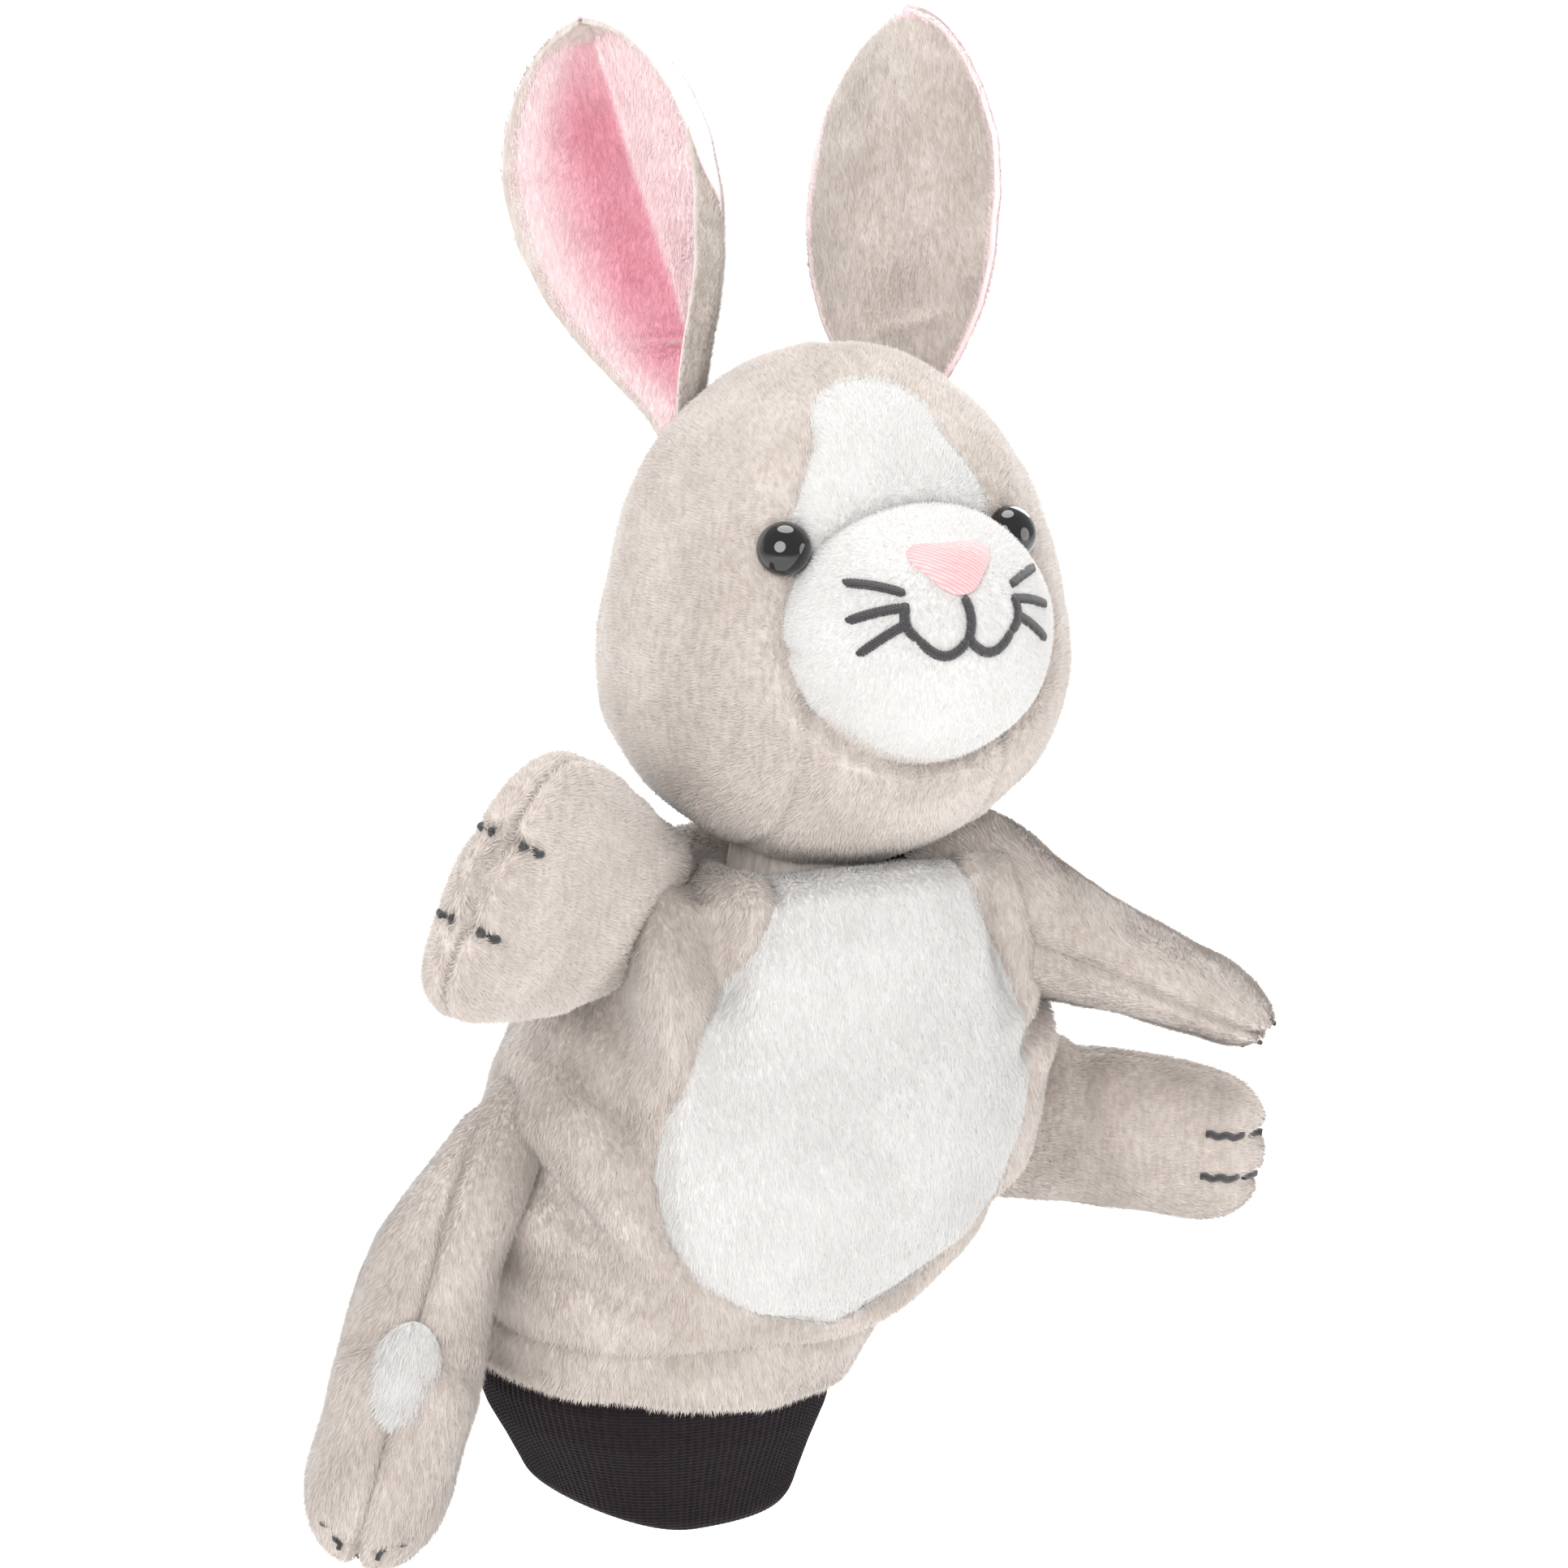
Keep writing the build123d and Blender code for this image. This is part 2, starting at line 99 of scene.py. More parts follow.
def make_studio():
    """A pale sweep of paper below and behind, a broad key, a weak fill, a top and a back light."""
    bpy.ops.object.select_all(action="DESELECT")
    bpy.ops.mesh.primitive_grid_add(x_subdivisions=2, y_subdivisions=80, size=1.0)
    sweep = bpy.context.object
    sweep.name = "paper_sweep"
    radius, front, back, floor_z, width, length, stretch = 0.6, -4.0, 0.9, -0.045, 9.0, 6.0, 6.0
    flat = back - front
    for point in sweep.data.vertices:
        run = (point.co.y + 0.5) * length
        x = point.co.x * width
        if run < flat:
            point.co = (x, front + run, floor_z)
        else:
            turn = min((run - flat) / radius, math.pi / 2)
            rise = max(run - flat - radius * math.pi / 2, 0) * stretch
            point.co = (x, back + radius * math.sin(turn), floor_z + radius * (1 - math.cos(turn)) + rise)
    paint = bpy.data.materials.new("pale_paper")
    paint.use_nodes = True
    set_finish(paint.node_tree.nodes["Principled BSDF"], Base_Color=(0.96, 0.96, 0.96, 1), Roughness=0.9,
               Specular_IOR_Level=0.0, Emission_Color=(1.0, 1.0, 1.0, 1), Emission_Strength=0.3)
    sweep.data.materials.append(paint)
    shade_smooth(sweep.data)
    make_light("key", (-0.80, -0.95, 0.80), 0.95, 13.0)
    make_light("fill", (0.95, -0.70, 0.30), 0.8, 4.2)
    make_light("top", (0.10, 0.10, 1.1), 0.7, 6.0)
    make_light("rim", (0.6, 0.55, 0.55), 0.5, 2.6)
    world = bpy.data.worlds.new("studio")
    world.use_nodes = True
    world.node_tree.nodes["Background"].inputs["Color"].default_value = (1.0, 1.0, 1.0, 1)
    world.node_tree.nodes["Background"].inputs["Strength"].default_value = 0.50
    bpy.context.scene.world = world
    bpy.context.scene.view_settings.view_transform = "Standard"


make_camera()
make_studio()


# ---- materials ----------------------------------------------------------------------------------
def new_material(name):
    """A fresh material: itself, its node tree, its shader and the piece's own Object coordinates."""
    material = bpy.data.materials.new(name)
    material.use_nodes = True
    tree = material.node_tree
    place = tree.nodes.new("ShaderNodeTexCoord").outputs["Object"]
    return material, tree, tree.nodes["Principled BSDF"], place


def add_node(tree, kind, inputs=(), links=(), **settings):
    """One node with its settings, its input values and what feeds it."""
    made = tree.nodes.new(kind)
    for name, value in settings.items():
        setattr(made, name, value)
    for name, value in dict(inputs).items():
        made.inputs[name].default_value = value
    for name, source in dict(links).items():
        tree.links.new(source, made.inputs[name])
    return made


def noise(tree, place, scale, detail=2.0):
    return add_node(tree, "ShaderNodeTexNoise", {"Scale": scale, "Detail": detail}, {"Vector": place}).outputs["Fac"]


def two_tones(tree, pattern, dark, light, low=0.0, high=1.0):
    """Colour a pattern from dark to light while it rises from low to high."""
    ramp = add_node(tree, "ShaderNodeValToRGB", links={"Fac": pattern})
    for stop, position, colour in zip(ramp.color_ramp.elements, (low, high), (dark, light)):
        stop.position, stop.color = position, (*colour, 1)
    return ramp.outputs["Color"]


def emboss(tree, shader, pattern, strength, depth):
    """Let a pattern stand out as fine relief, depth in metres."""
    bump = add_node(tree, "ShaderNodeBump", {"Strength": strength, "Distance": depth}, {"Height": pattern})
    tree.links.new(bump.outputs["Normal"], shader.inputs["Normal"])


def plush(name, shade, light, deep, sheen, pale=None):
    """Short pile: patches of painted light and shade where the nap lies another way, fine fibre grain and soft sheen.
    """
    material, tree, shader, place = new_material(name)
    patches = noise(tree, place, 55.0, 3.0)
    squeeze = add_node(tree, "ShaderNodeMapping", {"Scale": (1.0, 1.0, 0.35)}, {"Vector": place})
    fibres = noise(tree, squeeze.outputs["Vector"], 900.0, 4.0)
    # painted light and shade: the patches run from the cloth's shaded tone to its lit tone, as the nap catches the
    # light
    dye_and_painted_light = two_tones(tree, patches, shade, light, 0.32, 0.68)
    if pale:                # painted highlight: the colour fades to pale towards the edges that the cloth's own attribute marks, where light catches them
        rim = add_node(tree, "ShaderNodeAttribute", attribute_name="rim")
        lit_rim_fade = add_node(tree, "ShaderNodeMix", {"B": (*pale, 1)}, {"Factor": rim.outputs["Fac"], "A": dye_and_painted_light},
                          data_type="RGBA")
        dye_and_painted_light = lit_rim_fade.outputs["Result"]
    grain = two_tones(tree, fibres, deep, (1, 1, 1), 0.35, 0.6)
    mix = add_node(tree, "ShaderNodeMix", {"Factor": 1.0}, {"A": dye_and_painted_light, "B": grain},
                   data_type="RGBA", blend_type="MULTIPLY")
    tree.links.new(mix.outputs["Result"], shader.inputs["Base Color"])
    emboss(tree, shader, fibres, 0.5, 0.0006)
    set_finish(shader, Roughness=0.85, Specular_IOR_Level=0.2, Sheen_Weight=sheen, Sheen_Roughness=0.45)
    return material


def thread(name, colour, light, twist, roughness):
    """Embroidery thread: fine slanting rows with a soft gleam."""
    material, tree, shader, place = new_material(name)
    rows = add_node(tree, "ShaderNodeTexWave", {"Scale": twist, "Distortion": 2.0, "Detail": 2.0}, {"Vector": place},
                    wave_type="BANDS", bands_direction="DIAGONAL")
    tree.links.new(two_tones(tree, rows.outputs["Fac"], colour, light), shader.inputs["Base Color"])
    emboss(tree, shader, rows.outputs["Fac"], 0.6, 0.0003)
    set_finish(shader, Roughness=roughness, Sheen_Weight=0.3)
    return material


def knit(name):
    """Dark stretch rib with tiny stitches along each rib."""
    material, tree, shader, place = new_material(name)
    stitches = add_node(tree, "ShaderNodeTexWave", {"Scale": 420.0, "Distortion": 1.5}, {"Vector": place},
                        wave_type="BANDS", bands_direction="Z")
    fuzz = noise(tree, place, 700.0, 5.0)
    yarn = two_tones(tree, fuzz, (0.005, 0.0028, 0.0042), (0.013, 0.0078, 0.0105), 0.3, 0.75)
    tree.links.new(yarn, shader.inputs["Base Color"])
    height = add_node(tree, "ShaderNodeMath", {}, {0: stitches.outputs["Fac"], 1: fuzz}, operation="ADD")
    emboss(tree, shader, height.outputs["Value"], 0.5, 0.0004)
    set_finish(shader, Roughness=0.85, Specular_IOR_Level=0.2, Sheen_Weight=0.05, Sheen_Roughness=0.4)
    return material


def polished_eye(name):
    """Black safety-eye plastic with the faintest moulding haze."""
    material, tree, shader, place = new_material(name)
    span = add_node(tree, "ShaderNodeMapRange", {"To Min": 0.04, "To Max": 0.09}, {"Value": noise(tree, place, 300.0)})
    tree.links.new(span.outputs["Result"], shader.inputs["Roughness"])
    set_finish(shader, Base_Color=(0.004, 0.004, 0.005, 1), Coat_Weight=0.6, Coat_Roughness=0.03)
    return material


# each plush's first two colours are its painted shaded tone and its painted lit tone
GREY = plush("grey_plush_cloth", (0.585, 0.52, 0.475), (0.705, 0.64, 0.595), (0.84, 0.82, 0.80), 0.7)
WHITE = plush("white_plush_cloth", (0.70, 0.688, 0.675), (0.74, 0.73, 0.717), (0.96, 0.955, 0.95), 0.35)
# the pink's pale colour is the painted highlight along the lining's lit edges
PINK = plush("pink_plush_cloth", (0.76, 0.32, 0.40), (0.82, 0.40, 0.48), (0.95, 0.90, 0.91), 0.4,
             pale=(0.93, 0.77, 0.78))
PINK_THREAD = thread("pink_satin_thread", (0.80, 0.37, 0.39), (0.90, 0.56, 0.56), 520.0, 0.35)
DARK_THREAD = thread("dark_thread", (0.012, 0.011, 0.012), (0.05, 0.045, 0.05), 1400.0, 0.5)
KNIT = knit("dark_rib_knit")
EYE = polished_eye("black_eye_plastic")


# ---- mesh helpers -------------------------------------------------------------------------------
def points_of(piece):
    """The piece's points in millimetres."""
    flat = np.empty(len(piece.data.vertices) * 3)
    piece.data.vertices.foreach_get("co", flat)
    return flat.reshape(-1, 3) / MM


def set_points(piece, points):
    piece.data.vertices.foreach_set("co", (np.asarray(points) * MM).ravel())
    piece.data.update()


def normals_of(piece):
    flat = np.empty(len(piece.data.vertices) * 3)
    piece.data.vertices.foreach_get("normal", flat)
    return flat.reshape(-1, 3)


def deselect():
    bpy.ops.object.select_all(action="DESELECT")


def dress(piece, material):
    piece.data.materials.clear()
    piece.data.materials.append(material)


def finish_piece(piece, name, material, body, *replaces):
    """Name it, dress it, shade it smooth, and tell the frame what it stands for."""
    piece.name = name
    piece.data.name = name
    dress(piece, material)
    shade_smooth(piece.data)
    piece.data.update()
    if body:
        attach(piece, body)
    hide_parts(*replaces)
    return piece


def add_ball(subdivisions):
    """An even ball of unit radius, ready to be pushed into shape."""
    deselect()
    bpy.ops.mesh.primitive_ico_sphere_add(subdivisions=subdivisions, radius=MM)
    return bpy.context.object


def add_sheet(across, along):
    """A flat grid with its corner parameters 0 to 1 both ways, ready to be wrapped into a form."""
    deselect()
    bpy.ops.mesh.primitive_grid_add(x_subdivisions=across, y_subdivisions=along, size=MM)
    sheet = bpy.context.object
    flat = np.clip(points_of(sheet) + 0.5, 0.0, 1.0)
    return sheet, flat[:, 0], flat[:, 1]


def take_up(piece):
    """Select this piece alone and make it the active one."""
    deselect()
    piece.select_set(True)
    bpy.context.view_layer.objects.active = piece


def edit_all(piece, *steps):
    """Run edit-mode steps on the whole of one piece."""
    take_up(piece)
    bpy.ops.object.mode_set(mode="EDIT")
    bpy.ops.mesh.select_all(action="SELECT")
    for step in steps:
        step()
    bpy.ops.object.mode_set(mode="OBJECT")


def close_seam(piece, distance=0.02):
    """Weld the rolled sheet's two long edges and its pole, and turn its faces outwards."""
    edit_all(piece, lambda: bpy.ops.mesh.remove_doubles(threshold=distance * MM),
             lambda: bpy.ops.mesh.normals_make_consistent(inside=False))


def apply_modifier(piece, kind, **settings):
    """Add one modifier and apply it."""
    take_up(piece)
    modifier = piece.modifiers.new(kind.lower(), kind)
    for name, value in settings.items():
        setattr(modifier, name, value)
    bpy.ops.object.modifier_apply(modifier=modifier.name)


def cut_cloth(piece, field):
    """Cut a piece in two along the line where field is nought; returns (below, above)."""
    edit_all(piece, bpy.ops.mesh.quads_convert_to_tris)
    points = points_of(piece)
    value = np.where(np.abs(field) < 1e-4, 1e-4, field)
    corners = np.empty(len(piece.data.polygons) * 3, dtype=int)
    piece.data.loops.foreach_get("vertex_index", corners)
    faces = corners.reshape(-1, 3)
    extra, made = [], {}

    def crossing(a, b):
        key = (min(a, b), max(a, b))
        if key not in made:
            share = value[key[0]] / (value[key[0]] - value[key[1]])
            made[key] = len(points) + len(extra)
            extra.append(points[key[0]] + share * (points[key[1]] - points[key[0]]))
        return made[key]

    below = value[faces] < 0
    count = below.sum(axis=1)
    kept = {True: [tuple(f) for f in faces[count == 3]], False: [tuple(f) for f in faces[count == 0]]}
    for face in faces[(count > 0) & (count < 3)]:
        for side in (True, False):
            ring = []
            for a, b in zip(face, np.roll(face, -1)):
                if (value[a] < 0) == side:
                    ring.append(int(a))
                if (value[a] < 0) != (value[b] < 0):
                    ring.append(crossing(int(a), int(b)))
            kept[side].append(tuple(ring))
    everything = np.vstack([points, extra]) if extra else points
    halves = []
    for side in (True, False):
        rings = kept[side]
        used = np.unique(np.concatenate([np.array(r) for r in rings]))
        where = {int(old): new for new, old in enumerate(used)}
        mesh = bpy.data.meshes.new("cut")
        mesh.from_pydata((everything[used] * MM).tolist(), [], [[where[int(i)] for i in r] for r in rings])
        mesh.update()
        halves.append(link_new("cut", mesh))
    bpy.data.objects.remove(piece)
    return halves


def smooth_step(value, low, high):
    share = np.clip((value - low) / (high - low), 0.0, 1.0)
    return share * share * (3 - 2 * share)


def bell(value, width):
    return np.exp(-(value / width) ** 2)


def spread(place, values):
    """Read values that are spread evenly over 0 to 1."""
    return np.interp(place, np.linspace(0, 1, len(values)), values)


def unit_vector(v):
    v = np.array(v, float)
    return v / np.linalg.norm(v)


def rumple(points, scale, seed):
    """Soft uneven swelling, the same each run: a few crossed waves of about one wavelength."""
    rng = np.random.default_rng(seed)
    total = np.zeros(len(points))
    for _ in range(7):
        way = unit_vector(rng.normal(size=3))
        phase, stretch = rng.uniform(0, 6.28), rng.uniform(0.6, 1.5)
        bend = 0.6 * np.sin(points @ np.roll(way, 1) * (2.2 / scale) + phase)
        total += np.sin(points @ way * (6.28 * stretch / scale) + phase + bend)
    return total / 7


def line_distance(points, path):
    """Distance of 2-D points from a path of straight runs, and how far along it they lie, 0 to 1."""
    best = np.full(len(points), 1e9)
    where = np.zeros(len(points))
    runs = len(path) - 1
    for index, (start, end) in enumerate(zip(path, path[1:])):
        start, run = np.array(start, float), np.array(end, float) - np.array(start, float)
        share = np.clip(((points - start) @ run) / (run @ run), 0, 1)
        away = np.linalg.norm(points - start - share[:, None] * run, axis=1)
        closer = away < best
        best = np.where(closer, away, best)
        where = np.where(closer, (index + share) / runs, where)
    return best, where


def push(piece, amount):
    """Move each point along its own normal, in millimetres."""
    set_points(piece, points_of(piece) + normals_of(piece) * np.asarray(amount)[:, None])


def thicken(piece, thickness):
    """Give a cut panel its cloth's thickness, inwards."""
    apply_modifier(piece, "SOLIDIFY", thickness=thickness * MM, offset=-1.0)


WHORL_REACH, RUFFLE_REACH = 26, 11      # mm over which the nap turns, and over which it rises and falls
BLADE_WIDTH, BLADE_ROOT = 0.34, 0.15    # mm: a blade's foot, and how far it is set into the cloth


def grow_pile(name, sources, material, body=None, density=7.0, length=1.9, lean=22.0, comb=(0.0, 0.0, -1.0),
              seed=1, fade=None, swirl=0.55):
    """Short combed pile as real blades, one slim three-cornered blade per tuft.

    density is tufts per square mm; comb is the way the nap lies, or a function of the place that gives it;
    lean is how steeply the blades stand in degrees; swirl is how far the nap strays; fade shortens the pile.
    """
    rng = np.random.default_rng(seed)
    roots, ups, rims = [], [], []
    for source in sources:
        mesh = source.data
        mesh.calc_loop_triangles()
        corners = np.empty(len(mesh.loop_triangles) * 3, dtype=int)
        mesh.loop_triangles.foreach_get("vertices", corners)
        corners = corners.reshape(-1, 3)
        points, normals = points_of(source), normals_of(source)
        a, b, c = points[corners[:, 0]], points[corners[:, 1]], points[corners[:, 2]]
        area = np.linalg.norm(np.cross(b - a, c - a), axis=1) / 2
        wanted = area * density
        count = np.floor(wanted + rng.random(len(wanted))).astype(int)
        chosen = np.repeat(np.arange(len(corners)), count)
        p, q = rng.random(len(chosen)), rng.random(len(chosen))
        flip = p + q > 1
        p, q = np.where(flip, 1 - p, p), np.where(flip, 1 - q, q)
        share = np.column_stack([1 - p - q, p, q])
        roots.append(np.einsum("ij,ijk->ik", share, points[corners[chosen]]))
        ups.append(np.einsum("ij,ijk->ik", share, normals[corners[chosen]]))
        # the rim share, the ear lining's painted highlight, passes on to the blades
        if "rim" in mesh.attributes:
            rim = np.empty(len(points))
            mesh.attributes["rim"].data.foreach_get("value", rim)
            rims.append(np.einsum("ij,ij->i", share, rim[corners[chosen]]))
    root, up = np.vstack(roots), np.vstack(ups)
    up /= np.linalg.norm(up, axis=1)[:, None]
    whorl = np.column_stack([rumple(root, WHORL_REACH, seed + offset) for offset in (90, 91, 92)])
    nap = comb(root) if callable(comb) else np.array(comb)
    nap = nap + swirl * whorl + 0.2 * rng.normal(size=root.shape)
    nap -= up * np.einsum("ij,ij->i", nap, up)[:, None]
    nap /= np.linalg.norm(nap, axis=1)[:, None] + 1e-9
    ruffle = 24 * swirl * rumple(root, RUFFLE_REACH, seed + 93) + 6 * rng.normal(size=len(root))
    tilt = np.radians(lean + ruffle)[:, None]
    long = (length * rng.uniform(0.7, 1.1, len(root)))[:, None]
    if fade is not None:
        long *= fade(root)[:, None]
    side = np.cross(nap, up) * BLADE_WIDTH * rng.uniform(0.7, 1.2, len(root))[:, None] / 2
    tip = root + (nap * np.cos(tilt) + up * np.sin(tilt)) * long
    root = root - up * BLADE_ROOT
    points = np.stack([root - side, root + side, tip], axis=1).reshape(-1, 3)
    count = len(root)
    mesh = bpy.data.meshes.new(name)
    mesh.vertices.add(count * 3)
    mesh.vertices.foreach_set("co", (points * MM).ravel())
    mesh.loops.add(count * 3)
    mesh.loops.foreach_set("vertex_index", np.arange(count * 3))
    mesh.polygons.add(count)
    mesh.polygons.foreach_set("loop_start", np.arange(count) * 3)
    mesh.update(calc_edges=True)
    shade_smooth(mesh)
    cells = math.ceil(math.sqrt(count))
    corner = np.column_stack([np.arange(count) % cells, np.arange(count) // cells]) / cells
    place = np.array([(0.15, 0.15), (0.85, 0.15), (0.5, 0.85)]) / cells
    chart = mesh.uv_layers.new(name="OFBake")
    chart.data.foreach_set("uv", (corner[:, None, :] + place[None]).ravel())
    shade = np.repeat(up + 0.16 * rng.normal(size=up.shape) - nap * 0.18, 3, axis=0)
    shade /= np.linalg.norm(shade, axis=1)[:, None]
    mesh.normals_split_custom_set_from_vertices(shade.tolist())
    if rims:
        mesh.attributes.new("rim", "FLOAT", "POINT").data.foreach_set("value", np.repeat(np.concatenate(rims), 3))
    pile = link_new(name, mesh)
    mesh.materials.append(material)
    if body:
        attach(pile, body)
    return pile


# ---- head ---------------------------------------------------------------------------------------
HEAD = np.array([32.0, -12.0, 170.0])
HEAD_WIDE, HEAD_CROWN, HEAD_CHIN = 44.0, 60.0, 39.5
MUZZLE = np.array([34.5, -44.0, 180.5])
MUZZLE_WIDE, MUZZLE_TALL, MUZZLE_DEEP = 26.5, 24.5, 25.0
EYE_ASIDE, EYE_RADIUS = 23.0, 5.1
EAR_SEAM = 4.0              # y of the seam that holds the ears
CLOTH, LIMB_CLOTH, EAR_CLOTH = 1.6, 1.2, 1.0    # thickness given to a cut panel


def blaze_edge(points):
    """Signed distance to the forehead blaze's outline, seen from the front: below nought inside."""
    x, z = points[:, 0] - 31.0, points[:, 2]
    half = np.interp(z, [195, 203, 209, 216, 221, 225], [20.5, 19.5, 16.8, 12.6, 9.0, 0.01])
    crown = np.hypot(x, np.clip((z - 216.0) * 1.35, 0, None)) - 12.6
    return np.where(z > 216.0, crown, np.abs(x) - half)


def muzzle_edge(points):
    """Signed distance to the line where the muzzle is sewn to the face."""
    x = (points[:, 0] - MUZZLE[0]) / MUZZLE_WIDE
    z = (points[:, 2] - MUZZLE[2]) / MUZZLE_TALL
    return (np.hypot(x, z) - 1.0) * MUZZLE_TALL


def combed_back(spots):
    """The head's nap: from the muzzle up over the crown, and down the back to the neck."""
    return np.column_stack([np.zeros(len(spots)), np.ones(len(spots)), -0.95 * smooth_step(spots[:, 1], -12, 26)])


def make_head():
    head = add_ball(7)
    unit = points_of(head)
    radii = np.where(unit[:, 2] > 0, HEAD_CROWN, HEAD_CHIN)
    points = unit * np.column_stack([np.full(len(unit), HEAD_WIDE), np.full(len(unit), HEAD_WIDE), radii])
    # fuller cheeks and a rounder crown than a plain oval
    fuller = 1 + 0.035 * bell(points[:, 2] + 12, 22) + 0.03 * bell(points[:, 2] - 38, 14)
    points[:, :2] *= fuller[:, None]
    set_points(head, points + HEAD)
    points = points_of(head)
    front = points[:, 1] < HEAD[1]
    amount = 0.7 * rumple(points, 46, 3) + 0.35 * rumple(points, 17, 4)
    back_seam = np.where(points[:, 1] > EAR_SEAM, np.abs(points[:, 0] - HEAD[0]), 99)
    crown_dart = np.where((points[:, 2] > 219) & (points[:, 1] > -26), np.abs(points[:, 0] - HEAD[0] - 1), 99)
    amount -= 1.6 * bell(back_seam, 1.5) + 1.1 * bell(crown_dart, 1.3)
    amount -= 1.5 * bell(points[:, 1] - EAR_SEAM, 1.5) * smooth_step(points[:, 2], 140, 165)
    blaze = blaze_edge(points)
    amount -= np.where(front, 1.1 * bell(blaze, 1.2), 0)
    muzzle = muzzle_edge(points)
    amount -= np.where(front, 2.4 * bell(muzzle, 2.2), 0)
    for sign in (-1, 1):
        eye = np.array([HEAD[0] + sign * EYE_ASIDE, -43.5, 197.5])
        amount -= 2.2 * bell(np.linalg.norm(points - eye, axis=1), 5.5)
    push(head, amount)
    face, back = cut_cloth(head, points_of(head)[:, 1] - EAR_SEAM)
    back_right, back_left = cut_cloth(back, points_of(back)[:, 0] - HEAD[0])
    points = points_of(face)
    inside = np.where((points[:, 1] < HEAD[1]) & (points[:, 2] > 190), blaze_edge(points), 30.0)
    blaze, face = cut_cloth(face, inside)
    grow_pile("head_grey_pile", (face, back_right, back_left), GREY, "head", density=6.5, comb=combed_back, seed=101)
    grow_pile("blaze_pile", (blaze,), WHITE, "head", density=8.0, length=1.7, comb=combed_back, swirl=0.25, seed=102)
    for piece, name, material, nodes in (
            (face, "face_cover", GREY, ("face_left_panel", "face_right_panel", "head_filling")),
            (blaze, "forehead_blaze_cover", WHITE, ("forehead_blaze",)),
            (back_right, "head_back_right_cover", GREY, ("head_back_right_panel",)),
            (back_left, "head_back_left_cover", GREY, ("head_back_left_panel",))):
        thicken(piece, CLOTH)
        finish_piece(piece, name, material, "head", *nodes)


def muzzle_height(x, z):
    """How far forward the muzzle's surface lies, as a y, at a place seen from the front."""
    across = np.clip(((x - MUZZLE[0]) / MUZZLE_WIDE) ** 2 + ((z - MUZZLE[2]) / MUZZLE_TALL) ** 2, 0, 1)
    return MUZZLE[1] - MUZZLE_DEEP * np.sqrt(1 - across)


def make_muzzle():
    dome = add_ball(6)
    unit = points_of(dome)
    points = MUZZLE + unit * np.array([MUZZLE_WIDE, MUZZLE_DEEP, MUZZLE_TALL])
    set_points(dome, points)
    amount = 0.35 * rumple(points, 24, 8)
    for sign in (-1, 1):
        dart = np.abs(points[:, 2] - (MUZZLE[2] - 1.5)) + 40 * smooth_step(
            -sign * (points[:, 0] - MUZZLE[0]), -MUZZLE_WIDE * 0.98, -MUZZLE_WIDE * 0.75)
        amount -= 1.0 * bell(dart, 1.3)
    push(dome, amount)
    grow_pile("muzzle_pile", (dome,), WHITE, "head", length=1.3, lean=20.0, comb=(0.0, 0.85, -0.55), swirl=0.15,
              seed=103, fade=lambda spots: np.where(spots[:, 1] < MUZZLE[1], 1.0, 0.3))
    finish_piece(dome, "muzzle_cover_cloth", WHITE, "head", "muzzle_cover", "muzzle_filling")


def ribbon(path, width, lift, taper=0.35):
    """A row of satin stitch: a low rounded strip that follows path, in x and z, over the muzzle."""
    steps, around = 10 * (len(path) - 1), 8
    sheet, across, along = add_sheet(around, steps)
    knots = np.array(path, float)
    x, z = (spread(along, column) for column in knots.T)
    dx, dz = (spread(along + 0.01, column) - spread(along - 0.01, column) for column in knots.T)
    size = np.hypot(dx, dz)
    side = (across - 0.5) * width * (1 - taper * bell(along * (1 - along) * 4, 0.25))
    stitch = 0.12 * np.sin(along * steps * 1.9)
    px, pz = x - dz / size * (side + stitch), z + dx / size * (side + stitch)
    rise = lift * np.sqrt(np.clip(1 - (2 * across - 1) ** 2, 0, 1)) * np.clip(np.minimum(along, 1 - along) * 14, 0, 1)
    base = muzzle_height(px, pz)
    set_points(sheet, np.column_stack([px, base - rise - 0.15, pz]))
    apply_modifier(sheet, "SOLIDIFY", thickness=0.9 * MM, offset=0.0)
    edit_all(sheet, lambda: bpy.ops.mesh.normals_make_consistent(inside=False))
    return sheet


def join(parts):
    deselect()
    for part in parts:
        part.select_set(True)
    bpy.context.view_layer.objects.active = parts[0]
    bpy.ops.object.join()
    return bpy.context.object


def curve_points(start, middle, end, count=7):
    """Points on a smooth bow through three places."""
    t = np.linspace(0, 1, count)[:, None]
    start, middle, end = (np.array(p, float) for p in (start, middle, end))
    control = 2 * middle - (start + end) / 2
    return ((1 - t) ** 2 * start + 2 * t * (1 - t) * control + t ** 2 * end).tolist()


STITCH, LIFT = 0.92, 0.5    # a stitched line's width and height
WHISKERS = (                # each one's near and far end: how far aside, how high
    ((10.6, 191.8), (19.2, 193.0)),
    ((11.0, 189.4), (20.0, 186.6)),
    ((10.6, 186.8), (18.8, 180.8)),
)


